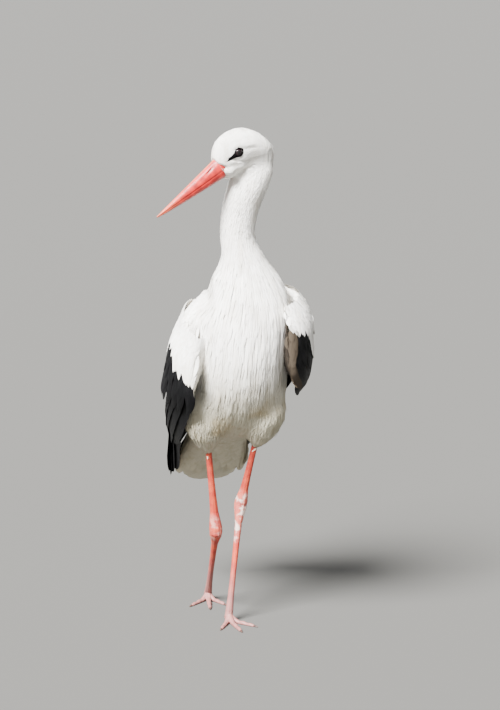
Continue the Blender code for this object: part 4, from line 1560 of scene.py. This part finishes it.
@dataclass
class FoldedWing:
    """White coverts over black secondaries over black primaries, on the source's layers."""

    rows: WingRows
    skin: Skin
    white: Material
    black: Material
    under: float = 0.0022
    layer: float = 0.0095
    vane_depth: float = 0.0045
    arm_depth: float = 0.021
    station: float = 0.074  # metres from one station to the next over the wing
    covert_end: float = 8.15
    secondary_count: int = 15
    secondary_start: float = 7.9
    secondary_end: float = 10.7
    primary_count: int = 7
    primary_start: float = 10.9
    primary_end: float = 14.0
    primary_spread: float = math.radians(31)
    high: tuple = (math.radians(24), math.radians(17))  # upper edge, and how far it rises
    covert_sink: float = 0.0026
    covert_thickness: float = 0.0005
    quill_thickness: float = 0.0011
    inset: float = math.radians(4)
    tuck: float = math.radians(15)  # how far the lining turns back in to the flank
    crease: float = math.radians(121)  # where it meets the flank at the least

    def low_edge(self, place: Array) -> Array:
        """The angle of the coverts' lower edge."""
        return np.radians(eased(self.rows.low, place))

    def flight_edge(self, place: Array) -> Array:
        """The angle of the flight feathers' lower edge."""
        return np.radians(eased(self.rows.flight_low, place))

    def high_edge(self, place: Array) -> Array:
        """The angle of its upper edge, which nears the back line towards the rump."""
        return self.high[0] - self.high[1] * smoothstep(6.4, 9.5, place)

    def standing_off(self, place: Array, angle: Array) -> Array:
        """How far the wing is held away from the flank there."""
        share = smoothstep(math.radians(26), math.radians(108), angle)
        return eased(self.rows.lift, place) * share

    def covert_front(self, across: Array) -> Array:
        """The station where the coverts start."""
        cut = np.where(across < 0.5, self.rows.wrist, 1.05)
        return self.rows.start + cut * (2 * across - 1) ** 2 + 0.15 * across

    def covert_rear(self, across: Array) -> Array:
        """The station where the coverts end, furthest on the back."""
        return self.covert_end + 2.5 * np.maximum(across, 0.0) ** 0.8

    def covert_angle(self, place: Array, across: Array) -> Array:
        """The angle of a share of the way from the lower to the upper edge."""
        low, high = self.low_edge(place), self.high_edge(place)
        return low + (high - low) * across

    def covert_top(self, place: Array, across: Array) -> Array:
        """The coverts' height above the bed, sinking onto the black past their end."""
        angle = self.covert_angle(place, across)
        from_middle = 2 * across - 1
        taper = np.sqrt(np.maximum(1 - from_middle**4, 0.0))
        arm = 1 - smoothstep(5.7, 9.6, place)
        arm = self.arm_depth * arm * smoothstep(5.6, 6.7, place)
        base = self.under + self.layer * smoothstep(6.6, 7.6, place)
        base = base + self.standing_off(place, angle)
        past = smoothstep(-0.5, 0.5, place - self.covert_rear(across))
        top = self.vane_depth + (arm + 0.004) * taper
        return base + top * (1 - past) + 0.0008 * past

    def secondary_top(self, place: Array, angle: Array) -> Array:
        """The secondaries' height above the bed."""
        rise = self.layer * 0.25 * smoothstep(9.6, 10.8, place)
        return self.under + rise + self.standing_off(place, angle)

    def primary_top(self, place: Array, angle: Array) -> Array:
        """The primaries' height above the bed."""
        return self.under * 0.4 + self.standing_off(place, angle)

    def surface(self, place: Array, angle: Array, height: Array) -> Array:
        """Positions at stations, angles and heights above the wing bed."""
        bed = self.skin.anatomy.wing_bed
        turned = self.rows.sign * angle
        return bed.points(place, turned) + bed.normals(place, turned) * height[..., None]

    def outward(self, place: Array, angle: Array) -> Array:
        """The wing bed's normals at stations and angles."""
        return self.skin.anatomy.wing_bed.normals(place, self.rows.sign * angle)

    def frames(self, at: Callable, place: Array, turn: Array, outward: Array) -> tuple:
        """Positions, sides and normals of a surface at places along feathers.

        Args:
            at: gives positions from a station and a second coordinate.
            place: stations, one row for each feather.
            turn: the second coordinate there.
            outward: roughly which way the surface faces.

        Returns:
            Positions, side directions and outward normals.
        """
        point = at(place, turn)
        ahead = at(place + 0.02, turn) - at(place - 0.02, turn)
        aside = at(place, turn + 0.01) - at(place, turn - 0.01)
        normal = unit(np.cross(ahead, aside))
        facing = np.sign((normal * outward).sum(-1, keepdims=True))
        normal = normal * np.where(facing == 0, 1, facing)
        return point, sideways(point, normal), normal

    def covert_rows(self, rng: Chance, vane: Vane, kind: CovertKind) -> Feathers:
        """Rows of coverts, small and scaly in front, long and pointed behind.

        Args:
            rng: the source of chance.
            vane: the shape.
            kind: which of the wing's rows to lay.

        Returns:
            The feathers.
        """
        station, plan = self.station, kind.value
        starts, acrosses, lengths, widths = [], [], [], []
        along, row = 0.0, 0
        while along < 1.0:
            length = plan.length[0] + (plan.length[1] - plan.length[0]) * along**1.5
            width = plan.width[0] + (plan.width[1] - plan.width[0]) * along
            count = int(plan.reach / (width * 0.50))
            across = (np.arange(count) + 0.25 + 0.5 * (row % 2)) / count
            across = np.clip(across + rng.normal(0, 0.16 / count, count), -0.02, 1.02)
            front, rear = self.covert_front(across), self.rows.white_end(across) + 0.08
            if kind is CovertKind.BLACK:
                hidden = 0.9 * np.clip(across / 0.06, 0.2, 1.0)
                front, rear = rear - hidden, self.covert_rear(across) + 0.4
            elif kind is CovertKind.LINING:
                front, rear = self.covert_front(across * 0), 8.12 - 0.35 * across
            rear = rear - length / station
            place = front + (rear - front) * (along + rng.normal(0, 0.006, count))
            shown = rear > front - 0.2
            starts.append(place[shown])
            acrosses.append(across[shown])
            lengths.append((length * rng.uniform(0.93, 1.09, count))[shown])
            widths.append((width * rng.uniform(0.9, 1.1, count))[shown])
            along += plan.step[0] + plan.step[1] * along
            row += 1
        start, across = np.concatenate(starts), np.concatenate(acrosses)
        length, width = np.concatenate(lengths), np.concatenate(widths)
        place = start[:, None] + length[:, None] / station * vane.shares[None]
        stray = rng.normal(0, 0.007, len(start))[:, None] * vane.shares[None]
        turn = across[:, None] + stray

        def at(where: Array, share: Array) -> Array:
            """Positions at stations and shares of the way up, or in for the lining."""
            if kind is CovertKind.LINING:
                low = self.low_edge(where)
                crease = np.maximum(low - self.tuck, self.crease)
                angle = low + (crease - low) * share
                top = self.covert_top(where, share * 0) * (1 - share)
                return self.surface(where, angle, top)
            angle = self.covert_angle(where, share)
            return self.surface(where, angle, self.covert_top(where, share))

        end = start + 0.8 * length / station
        if kind is CovertKind.LINING:
            outward = np.array([-self.rows.sign, -0.7, 0.0])
            # painted shade with some soil on the lining that turns in to the flank
            shaded_and_stained = 1.5 * self.rows.stain * smoothstep(5.9, 6.2, end)
        else:
            outward = self.outward(place, self.covert_angle(place, turn))
            # and on the lowest coverts along the wing's lower edge
            shaded_and_stained = self.rows.stain * smoothstep(6.1, 6.5, end) * (across < 0.075)
        point, side, normal = self.frames(at, place, turn, outward)
        sink, lift = self.covert_sink, plan.lift + 0.0006 * rng.random(len(start)) ** 2
        rise = 1 - (1 - vane.shares[None]) ** 1.6
        height = -sink + (sink + lift[:, None]) * rise
        point = point + normal * height[..., None]
        thickness = np.full(len(start), self.covert_thickness)
        tint, mark = rng.random(len(start)) ** 0.7, np.maximum(shaded_and_stained, plan.mark)
        root = self.skin.bake_roots(point[:, 0])
        return Feathers(point, side, normal, width / 2, thickness, tint, mark, root)

    def flight_feathers(
        self, rng: Chance, vane: Vane, across: Array, first: Array, last: Array,
        angle_at: Callable, top: Callable, overlap: float, slope: float
    ) -> Feathers:
        """A row of long vanes, each lying over the next one down.

        Args:
            rng: the source of chance.
            vane: the shape.
            across: each feather's share of the way from the lower to the upper edge.
            first: stations of their roots.
            last: stations of their tips.
            angle_at: gives the angle from stations and shares.
            top: gives heights above the bed from stations and angles.
            overlap: half width over spacing.
            slope: how much the lower edge stands up, as a tangent.

        Returns:
            The feathers.
        """
        count, ends = len(across), (last - first)[:, None]
        place = first[:, None] + ends * vane.shares[None]
        turn = np.repeat(across[:, None], len(vane.shares), 1)

        def at(where: Array, share: Array) -> Array:
            """Positions at stations and shares of the way up."""
            angle = angle_at(where, share)
            return self.surface(where, angle, top(where, angle))

        facing = self.outward(place, angle_at(place, turn))
        point, side, normal = self.frames(at, place, turn, facing)
        gap = np.linalg.norm(np.diff(point, axis=0), axis=2)
        half = np.median(gap, axis=1) * overlap
        half = np.append(half, half[-1])
        downward = at(place, turn - 0.02) - at(place, turn + 0.02)
        lean = np.sign((side * downward).sum(-1, keepdims=True)) * slope
        tilted = unit(side + normal * lean)
        normal = unit(normal - side * lean)
        middle = self.vane_depth * (0.25 + 0.35 * rng.random(count)[:, None, None])
        thickness, tint = np.full(count, self.quill_thickness), rng.random(count)
        root, point = self.skin.bake_roots(point[:, 0]), point + normal * middle
        return Feathers(point, tilted, normal, half, thickness, tint, np.ones(count), root)

    def secondaries(self, rng: Chance, vane: Vane) -> Feathers:
        """The black inner flight feathers, longest near the back."""
        count = self.secondary_count
        across = (np.arange(count) + 0.5) / count
        reach = 1.9 * np.sin(math.pi * (0.15 + 0.6 * across))
        last = self.secondary_end + reach + rng.normal(0.12, 0.06, count)
        first = np.full(count, self.secondary_start + 0.1)

        def angle_at(where: Array, share: Array) -> Array:
            """The angle at stations and shares of the way up."""
            low = self.flight_edge(where) - self.inset
            high = self.high_edge(where) + self.inset / 2
            return low + (high - low) * share

        return self.flight_feathers(
            rng, vane, across, first, last, angle_at, self.secondary_top, 1.05, 0.10
        )

    def primaries(self, rng: Chance, vane: Vane) -> Feathers:
        """The black outer flight feathers, to the wing's tip."""
        count = self.primary_count
        across = (np.arange(count) + 0.5) / count
        tip = self.primary_end - np.abs(2 * across - 0.9) ** 1.5 + rng.normal(0.02, 0.05, count)
        first = np.full(count, self.primary_start - 1.2)

        def angle_at(where: Array, share: Array) -> Array:
            """The angle at stations and shares of the way down."""
            half = self.primary_spread * (1 - 0.45 * smoothstep(11, 14.2, where))
            return self.flight_edge(where) - self.inset - half + half * (1 - 2 * share)

        return self.flight_feathers(
            rng, vane, across, first, tip, angle_at, self.primary_top, 1.4, 0.05
        )

    def build(self, rng: Chance, coverts: Vane, quill: Vane) -> None:
        """Makes the wing's pieces."""
        side = self.rows.side
        for kind, slot in (
            (CovertKind.WHITE, "white_plumage"),
            (CovertKind.BLACK, "black_flight_feathers"),
            (CovertKind.LINING, "white_plumage"),
        ):
            rows = self.covert_rows(rng, coverts, kind)
            maker = FeatherMaker(slot, roundness=0.45)
            finish = self.black if kind is CovertKind.BLACK else self.white
            maker.make(f"wing_{side}_{kind.name.lower()}_coverts", coverts, rows, finish)
        for name, feathers in (
            ("secondaries", self.secondaries(rng, quill)),
            ("primaries", self.primaries(rng, quill)),
        ):
            node = f"wing_{side}_{name}"
            maker = FeatherMaker("black_flight_feathers", (node,))
            maker.make(f"{node}_vanes", quill, feathers, self.black)


@dataclass
class Tail:
    """Twelve white tail feathers in a fan, under rows of long, broad coverts."""

    skin: Skin
    white: Material
    start: float = 11.9
    end: float = TAIL_END
    rounding: float = 1.15  # stations over which the fan's end is round
    half_width: float = 0.0190
    feathers: int = 12
    spread: float = 0.84  # of the tail's own half width
    covert_stations: tuple = (10.9, 12.45, 0.15)  # first row, past the last one, step
    coverts_in_row: int = 34

    def build(self, rng: Chance, rectrix: Vane, covert: Vane) -> None:
        """Makes the fan and its coverts."""
        maker = FeatherMaker("white_plumage")
        maker.make("tail_feathers", rectrix, self.fan(rng, rectrix), self.white)
        rows = self.covert_rows(rng, covert)
        maker.make("tail_coverts", covert, rows, self.white)

    def fan(self, rng: Chance, vane: Vane) -> Feathers:
        """The tail feathers, the middle pair on top."""
        across = np.linspace(-self.spread, self.spread, self.feathers)
        last = self.end - self.rounding * (1 - np.sqrt(1 - across**2)) + 0.03
        place = self.start + (last - self.start)[:, None] * vane.shares[None]
        back, belly, half_width = self.skin.anatomy.body.sections(place)
        opening = 0.45 + 0.55 * smoothstep(self.start, self.end - 0.5, place)
        point = (back + belly) / 2
        point[..., 0] += across[:, None] * opening * half_width * 0.80
        normal = unit(back - belly)
        order = np.abs(across)[:, None, None]
        point = point + normal * (0.0035 - 0.006 * order)
        side = sideways(point, normal)
        lean = -0.08 * np.sign(across)[:, None, None] * np.sign(side[..., :1])
        count = len(across)
        half_width, thickness = np.full(count, self.half_width), np.full(count, 0.0012)
        side, tint = unit(side + normal * lean), 0.5 + 0.5 * rng.random(count)
        root, mark = self.skin.bake_roots(point[:, 0]), np.zeros(count)
        return Feathers(point, side, normal, half_width, thickness, tint, mark, root)

    def covert_rows(self, rng: Chance, vane: Vane) -> Feathers:
        """Rows round the rump and vent that hide the tail feathers' roots."""
        starts, angles = [], []
        count = self.coverts_in_row
        for row, first in enumerate(np.arange(*self.covert_stations)):
            turn = (np.arange(count) + 0.5 * (row % 2)) / count * 2 * math.pi
            starts.append(first + rng.normal(0, 0.05, count))
            angles.append(turn + rng.normal(0, 0.05, count))
        start, angle = np.concatenate(starts), np.concatenate(angles)
        count = len(start)
        length = rng.uniform(0.90, 1.15, count)
        place = start[:, None] + length[:, None] * vane.shares[None]
        place = np.minimum(place, self.end - 0.12)
        turn = np.repeat(angle[:, None], len(vane.shares), 1)
        body = self.skin.anatomy.body
        point, normal = body.points(place, turn), unit(body.normals(place, turn))
        rise = 1 - (1 - vane.shares[None]) ** 1.5
        flat = 1 - 0.55 * smoothstep(12.4, 13.6, place)
        height = -0.006 + 0.0062 * rise - 0.004 * smoothstep(12.8, 13.7, place)
        centre, side = point + normal * (height * flat)[..., None], sideways(point, normal)
        half_width, thickness = rng.uniform(0.0095, 0.0125, count), np.full(count, 0.0006)
        tint, mark = rng.random(count) ** 0.6, np.zeros(count)
        root = self.skin.bake_roots(point[:, 0])
        return Feathers(centre, side, normal, half_width, thickness, tint, mark, root)


# ---- head
@dataclass
class Bill:
    """Two mandibles with a ridge, a mouth line, nostrils and a sharp tip."""

    anatomy: Anatomy
    finish: Material
    blunt: float = 0.0012
    gap: float = 0.00035
    root: float = 0.016  # how far the sheath reaches back into the feathers
    faces: tuple = (56, 110)  # round each sheath and along it
    widest: float = 0.0105  # how far back the sheath grows before it narrows
    tip_half_width: float = 0.0009
    closing: float = 0.985  # the share of the way at which the tip closes
    outer: float = 0.72  # the share of the way round that shows; the rest lines the mouth
    ridge: float = 0.22  # how broad the ridge on top is, as a share of the half width
    slit: float = 0.0013
    groove: float = 0.0026
    keel: float = 0.0016
    keel_down: float = 0.0065
    nostril_ahead: float = 0.0105
    nostril_length: float = 0.024
    nostril_up: float = 0.0110

    def build(self) -> None:
        """Makes both mandibles."""
        for name, upper in (("upper", True), ("lower", False)):
            piece = wrapped_grid(
                f"bill_{name}_sheath",
                *self.faces,
                lambda u, v, upper=upper: self.shape(u, v, upper)[0],
                self.finish,
                lambda u, v, upper=upper: self.shape(u, v, upper)[1],
            )
            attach(piece, "root")
            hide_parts(f"bill_{name}")

    def shape(self, u: Array, v: Array, upper: bool) -> tuple:
        """Positions and marks over one mandible.

        Args:
            u: share round the section, from one mouth edge over the ridge to the other and
                back along the mouth.
            v: share of the way to the tip.
            upper: which mandible.

        Returns:
            Positions in the world and a dictionary of marks.
        """
        ahead = -self.root + (BILL_LENGTH + self.root) * v
        share = np.clip(ahead / BILL_LENGTH, 0.0, 1.0)
        width = BILL_HALF_WIDTH * (1 - share) ** 0.86 + self.tip_half_width
        narrow = np.maximum(-ahead - self.widest, 0)
        broad = 1 - 6 * np.maximum(ahead, -self.widest) - 60 * narrow
        width = width * np.where(ahead < 0, broad, 1)
        if upper:
            edge = MOUTH_LINE + self.blunt + (BILL_TOP - MOUTH_LINE) * (1 - share)
            mouth = MOUTH_LINE + self.gap
        else:
            edge = MOUTH_LINE - self.blunt
            edge = edge - (MOUTH_LINE - BILL_BOTTOM) * (1 - share) ** 0.75
            mouth = MOUTH_LINE - self.gap
        over = self.outer
        shown = u <= over
        turn = math.pi * np.clip(u / over, 0.0, 1.0)
        inside = np.clip((u - over) / (1 - over), 0.0, 1.0)
        x = np.cos(turn)
        lift = np.abs(np.sin(turn)) ** (0.86 if upper else 0.78)
        ridge = bell(x, self.ridge) * shown
        lift = lift * (0.955 + 0.045 * ridge)
        x = np.where(shown, x, -1 + 2 * inside)
        tuck = np.sin(math.pi * inside)
        side = x * width * np.where(shown, 1.0, 0.985)
        up = mouth + (edge - mouth) * np.where(shown, lift, 0.10 * tuck)
        tomium = bell(up - mouth, self.slit) * shown
        side = side * (1 - 0.030 * tomium)
        hollow = np.zeros_like(u)
        if upper:
            centre = self.nostril_ahead + self.nostril_length / 2
            run = (ahead - centre) / (self.nostril_length / 2)
            line = self.nostril_up - 0.0022 * run
            slit = bell(up - line, self.slit) * hump(0.0, 1.0, run)
            groove = bell(up - line, self.groove)
            groove = groove * (1 - smoothstep(0.03, 0.085, ahead)) * smoothstep(0, 0.008, ahead)
            pinch = np.sign(side) * (0.0022 * slit + 0.0007 * groove) * shown
            side = side - pinch
            # painted shade: the nostril slit is darkened
            hollow = np.clip(slit * 1.3, 0, 1) * shown
        else:
            keel_groove = bell(up - (MOUTH_LINE - self.keel_down), self.keel)
            keel_groove = keel_groove * (1 - smoothstep(0.04, 0.11, ahead))
            side = side - np.sign(side) * 0.0005 * keel_groove * shown
        closed = smoothstep(1.0, self.closing, v)
        side = side * closed
        up = np.where(v > self.closing, MOUTH_LINE + (up - MOUTH_LINE) * closed, up)
        # painted shade: the mouth's inner lining is darkened
        hollow = np.maximum(hollow, 0.8 * ~shown)
        local = np.stack([side, -ahead, up], axis=-1)
        return self.anatomy.from_head(local), {"ridge": ridge, "hollow": hollow}


@dataclass
class Eye:
    """Eyeball and the black bare skin round it, drawn out into a wedge towards the gape."""

    # (share of the way out over the bare skin, height over the head), over and back under
    LID_PROFILE = (
        (0.00, -0.0030), (0.00, -0.0002), (0.06, 0.0007), (0.16, 0.0010), (0.32, 0.0010),
        (0.65, 0.0008), (1.00, -0.0001), (1.00, -0.0024), (0.50, -0.0030), (0.20, -0.0034)
    )
    anatomy: Anatomy
    skin: Skin
    side: str
    sign: int
    eye: Material
    bare: Material
    ball_faces: tuple = (40, 30)  # round the ball and from front to back
    lid_faces: int = 120  # round the lids
    opening: float = 0.0070
    margin: float = 0.0094
    wedge: float = 0.0190
    wedge_turn: float = math.radians(185)  # towards the gape: back is 0, up is 90 degrees
    shoulder: float = 0.0022  # how much further the skin reaches beside the wedge
    corner: float = 0.0012  # and at the eye's rear corner
    rim_out: float = 0.0292  # how far out the lids' rim stands

    def build(self) -> None:
        """Makes the ball and the lids."""
        self.make_ball()
        self.make_lids()

    def make_ball(self) -> None:
        """A smooth ball that remembers how far each point is from the gaze."""
        radius = EYE_RADIUS * 0.985
        centre = np.array([self.sign * (EYE_OUT - 0.0006), LOOK_BACK, LOOK_UP])
        gaze = unit(np.array([self.sign * 1.0, -0.16, 0.02]))

        def shape(u: Array, v: Array) -> Array:
            """Positions from the shares round the gaze and away from it."""
            turn, tilt = 2 * math.pi * u, math.pi * v
            first = unit(np.cross(gaze, [0.0, 0.0, 1.0]))
            second = np.cross(gaze, first)
            out = np.cos(tilt)[:, None] * gaze * (1 + 0.05 * bell(v, 0.2))[:, None]
            out = out + (np.sin(tilt) * np.cos(turn))[:, None] * first
            out = out + (np.sin(tilt) * np.sin(turn))[:, None] * second
            return self.anatomy.from_head(centre + out * radius)

        ball = wrapped_grid(
            f"eye_{self.side}_ball",
            *self.ball_faces,
            shape,
            self.eye,
            lambda u, v: {"from_gaze": np.sin(math.pi * np.minimum(v, 0.5))},
        )
        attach(ball, "root")
        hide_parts(f"eye_{self.side}")

    def reach(self, turn: Array) -> Array:
        """How far the bare skin reaches at an angle round the eye."""
        off = (turn - self.wedge_turn + math.pi) % (2 * math.pi) - math.pi
        wedge = self.wedge * np.exp(-((np.abs(off) / 0.215) ** 1.3))
        shoulder = self.shoulder * bell(off, 0.60)
        corner = self.corner * bell(np.abs(off) - math.pi, 0.28)
        return self.margin + wedge + shoulder + corner

    def over_head(self, back: Array, up: Array) -> tuple[Array, Array, Array]:
        """The outer surface's positions and normals at places on the head's side, and the
        way out of that side."""
        out = self.anatomy.head_direction(np.array([float(self.sign), 0.0, 0.0]))
        start = np.stack([np.full_like(back, self.sign * 0.08), back, up], axis=-1)
        points, normals = [], []
        for place in self.anatomy.from_head(start):
            hit = self.skin.tree.ray_cast(Vector(place), Vector(-out), 0.15)
            points.append(hit[0])
            normals.append(hit[1])
        return np.array(points), np.array(normals), out

    def make_lids(self) -> None:
        """A thin closed ring from inside the lids out over the bare skin and under."""
        steps = len(self.LID_PROFILE)

        def shape(u: Array, v: Array) -> Array:
            """Positions from the shares round the eye and along the profile."""
            turn = 2 * math.pi * u
            row = np.round(v * steps).astype(int) % steps
            out_share, height = np.array(self.LID_PROFILE)[row].T
            opening = self.opening * (1 - 0.06 * np.abs(np.sin(turn)))
            reach = opening + (self.reach(turn) - opening) * out_share
            back = LOOK_BACK + reach * np.cos(turn)
            up = LOOK_UP + reach * np.sin(turn)
            points, normals, out = self.over_head(back, up)
            rim = self.anatomy.from_head(
                np.stack([np.full_like(back, self.sign * self.rim_out), back, up], axis=-1)
            )
            near = (1 - smoothstep(0.0, 0.35, out_share))[:, None]
            points = points * (1 - near) + rim * near
            normals = unit(normals * (1 - near) + out * near)
            return points + normals * height[:, None]

        name = f"eye_{self.side}_bare_skin"
        lids = wrapped_grid(name, self.lid_faces, steps, shape, self.bare)
        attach(lids, "root")

    def keeps_clear(self, feathers: Feathers) -> Array:
        """Which feathers stay off the bare skin."""
        clear = np.ones(len(feathers.half_width), bool)
        for step in range(1, feathers.centre.shape[1]):
            local = self.anatomy.to_head(feathers.centre[:, step])
            back, up = local[:, 1] - LOOK_BACK, local[:, 2] - LOOK_UP
            turn = np.arctan2(up, back)
            away = np.hypot(back, up) - self.reach(turn)
            ours = np.sign(local[:, 0]) == self.sign
            clear &= ~((away < 0.0) & ours & (local[:, 1] < 0.11) & (np.abs(up) < 0.06))
        return clear


# ---- legs
@dataclass
class BareLeg:
    """One bare leg from the feathers to the toes, in small raised scales, with its claws."""

    anatomy: Anatomy
    side: str
    finish: Material
    horn: Material
    voxel: float = 0.00085
    scale_size: float = 0.0032
    toe_scale_size: float = 0.0024
    relief: float = 0.00030
    packing: float = 0.86  # the least distance of scales, as a share of their size
    toes: tuple = ("inner", "middle", "outer", "hind")
    claw_cuts: int = 3
    claw_rounds: int = 3
    claw_softness: float = 0.35

    def build(self, rng: Chance) -> None:
        """Makes the leg and its claws."""
        names = tuple(f"{part}_{self.side}" for part in ("shank", "tarsus", "foot"))
        piece = merged_copy(
            f"leg_{self.side}_scaled_skin", tuple(self.anatomy.nodes[n] for n in names)
        )
        remesh(piece, self.voxel)
        main_shell(piece)
        self.add_scales(rng, piece.data)
        piece.data.shade_smooth()
        piece.data.materials.append(self.finish)
        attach(piece, "root")
        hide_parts(*names)
        for toe in self.toes:
            self.make_claw(toe)
        log.info("leg_%s: %d faces", self.side, len(piece.data.polygons))

    def add_scales(self, rng: Chance, mesh: Mesh) -> None:
        """Raises a cell round each of many evenly scattered centres."""
        points = evened(mesh_points(mesh), mesh_edges(mesh), 5)
        move_points(mesh, points)
        normals = mesh_points(mesh, "normal")
        low = smoothstep(0.018, 0.035, points[:, 2])
        size = self.toe_scale_size + (self.scale_size - self.toe_scale_size) * low
        order, places = rng.permutation(len(points)).tolist(), points.tolist()
        cells = search_tree([places[k] for k in spaced(places, order, size * self.packing)])
        near = np.array([[hit[2] for hit in cells.find_n(place, 2)] for place in places])
        margin = (near[:, 1] - near[:, 0]) / size
        height = smoothstep(0.0, 0.42, margin)
        flat = smoothstep(0.0005, 0.0025, points[:, 2])
        grown = points + normals * ((height - 0.6) * self.relief * flat)[:, None]
        grown[:, 2] = np.maximum(grown[:, 2], 0.0)
        move_points(mesh, grown)
        add_numbers(mesh, "scale_height", height)

    def make_claw(self, toe: str) -> None:
        """A blunt, flattened nail, smoothed from its solid."""
        node = f"claw_{self.side}_{toe}"
        piece = merged_copy(f"{node}_nail", (self.anatomy.nodes[node],))
        built = bmesh.new()
        built.from_mesh(piece.data)
        bmesh.ops.dissolve_limit(
            built, angle_limit=math.radians(2), verts=built.verts, edges=built.edges
        )
        bmesh.ops.subdivide_edges(
            built, edges=built.edges, cuts=self.claw_cuts, use_grid_fill=True
        )
        every_way = {f"use_axis_{axis}": True for axis in "xyz"}
        for _ in range(self.claw_rounds):
            bmesh.ops.smooth_vert(
                built, verts=built.verts, factor=self.claw_softness, **every_way
            )
        bmesh.ops.recalc_face_normals(built, faces=built.faces)
        built.to_mesh(piece.data)
        built.free()
        piece.data.shade_smooth()
        piece.data.materials.clear()
        piece.data.materials.append(self.horn)
        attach(piece, "root")
        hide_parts(node)


# ---- studio
@dataclass
class Studio:
    """Pale floor, soft key from the upper left, pale surroundings, and the camera."""

    target: Vector = field(default_factory=lambda: Vector((0.041, -0.100, 0.572)))
    azimuth: float = -10.0
    elevation: float = 10.0
    distance: float = 5.0
    lens: float = 123.0
    lights: tuple = (  # name, the way towards it, strength, degrees across
        ("key", (-0.58, -0.62, 0.88), 31.5, 26.0), ("fill", (0.10, -0.90, 0.40), 0.8, 50.0)
    )
    surround_colour: str = "#E6EBF0"
    surround_strength: float = 0.45
    floor_colour: str = "#4A4946"
    floor_roughness: float = 0.9
    floor_size: float = 60.0

    def build(self) -> None:
        """Makes all of it."""
        self.make_camera()
        self.make_lights()
        self.make_floor()

    def make_camera(self) -> None:
        """Places the camera on its azimuth and elevation round the target."""
        around, up = math.radians(self.azimuth), math.radians(self.elevation)
        away = Vector(
            (math.sin(around) * math.cos(up), -math.cos(around) * math.cos(up), math.sin(up))
        )
        data = bpy.data.cameras.new("camera")
        data.lens = self.lens
        camera = new_object("camera", data)
        camera.location = self.target + away * self.distance
        camera.rotation_euler = (-away).to_track_quat("-Z", "Y").to_euler()
        bpy.context.scene.camera = camera

    def make_lights(self) -> None:
        """A wide soft key, a weak fill and an even surround."""
        for name, way, strength, spread in self.lights:
            data = bpy.data.lights.new(name, "SUN")
            data.energy, data.angle = strength, math.radians(spread)
            turned = (-Vector(way)).to_track_quat("-Z", "Y")
            new_object(name, data).rotation_euler = turned.to_euler()
        world = bpy.data.worlds.new("surround")
        world.use_nodes = True
        background = world.node_tree.nodes["Background"]
        background.inputs["Color"].default_value = linear(self.surround_colour)
        background.inputs["Strength"].default_value = self.surround_strength
        bpy.context.scene.world = world

    def make_floor(self) -> None:
        """A wide plane in matt paint."""
        built = bmesh.new()
        bmesh.ops.create_grid(built, x_segments=1, y_segments=1, size=self.floor_size)
        mesh = bpy.data.meshes.new("floor")
        built.to_mesh(mesh)
        built.free()
        paint = {"Base Color": linear(self.floor_colour), "Roughness": self.floor_roughness}
        mesh.materials.append(Finish("matt_floor_paint").dress(paint))
        new_object("floor", mesh)


def main() -> None:
    """Builds the bird piece by piece."""
    logging.basicConfig(level=logging.INFO, format="%(message)s")
    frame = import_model()
    Studio().build()
    anatomy = Anatomy(frame["nodes"])
    rng = np.random.default_rng(SEED)
    skin = Skin(anatomy, CoatTable())
    skin.mesh.materials.append(WhitePlumage().build(vaned=False))
    add_numbers(skin.mesh, "mark", skin.fields.mark)
    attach(skin.piece, "root")
    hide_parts(*FLESH)
    log.info("skin: %d faces", len(skin.quads))
    white = WhitePlumage().build(vaned=True)
    black = BlackFlightFeather().build()
    covert = Vane(Outline.COVERT, FIVE_SIDED)
    quill = Vane(Outline.QUILL, FIVE_SIDED)
    wet = WetEye().build()
    bare = PlainFinish("black_bare_skin", "#020202", "#070506", 0.002, 0.7, 0.0003, 0.06)
    bare = bare.build()
    eyes = [Eye(anatomy, skin, side, sign, wet, bare) for side, sign in SIDES]
    for eye in eyes:
        eye.build()
        log.info("eye_%s", eye.side)
    Bill(anatomy, RedBill().build()).build()
    log.info("bill")
    plumage = Plumage(skin)
    maker = FeatherMaker("white_plumage")
    for name, mask, vane, stray in plumage.tracts():
        coat = plumage.grow(rng, mask, vane, stray)
        for eye in eyes:
            coat = coat.chosen(eye.keeps_clear(coat))
        maker.make(name, vane, coat, white)
    for rows in WINGS:
        FoldedWing(rows, skin, white, black).build(rng, covert, quill)
    rectrix = Vane(Outline.RECTRIX, FIVE_SIDED)
    plume = Vane(Outline.PLUME, FIVE_SIDED)
    Tail(skin, white).build(rng, rectrix, plume)
    horn = PlainFinish("dark_claw_horn", "#3A2A26", "#5B4038", 0.004, 0.4, 0.0002)
    horn = horn.build()
    legs = (
        ("left", LegSkin("orange_leg_skin_left", 0.16, 0.29, 1.0)),
        ("right", LegSkin("orange_leg_skin_right", 0.15, 0.24, 0.35)),
    )
    for side, finish in legs:
        BareLeg(anatomy, side, finish.build(), horn).build(rng)


if __name__ == "__main__":
    main()
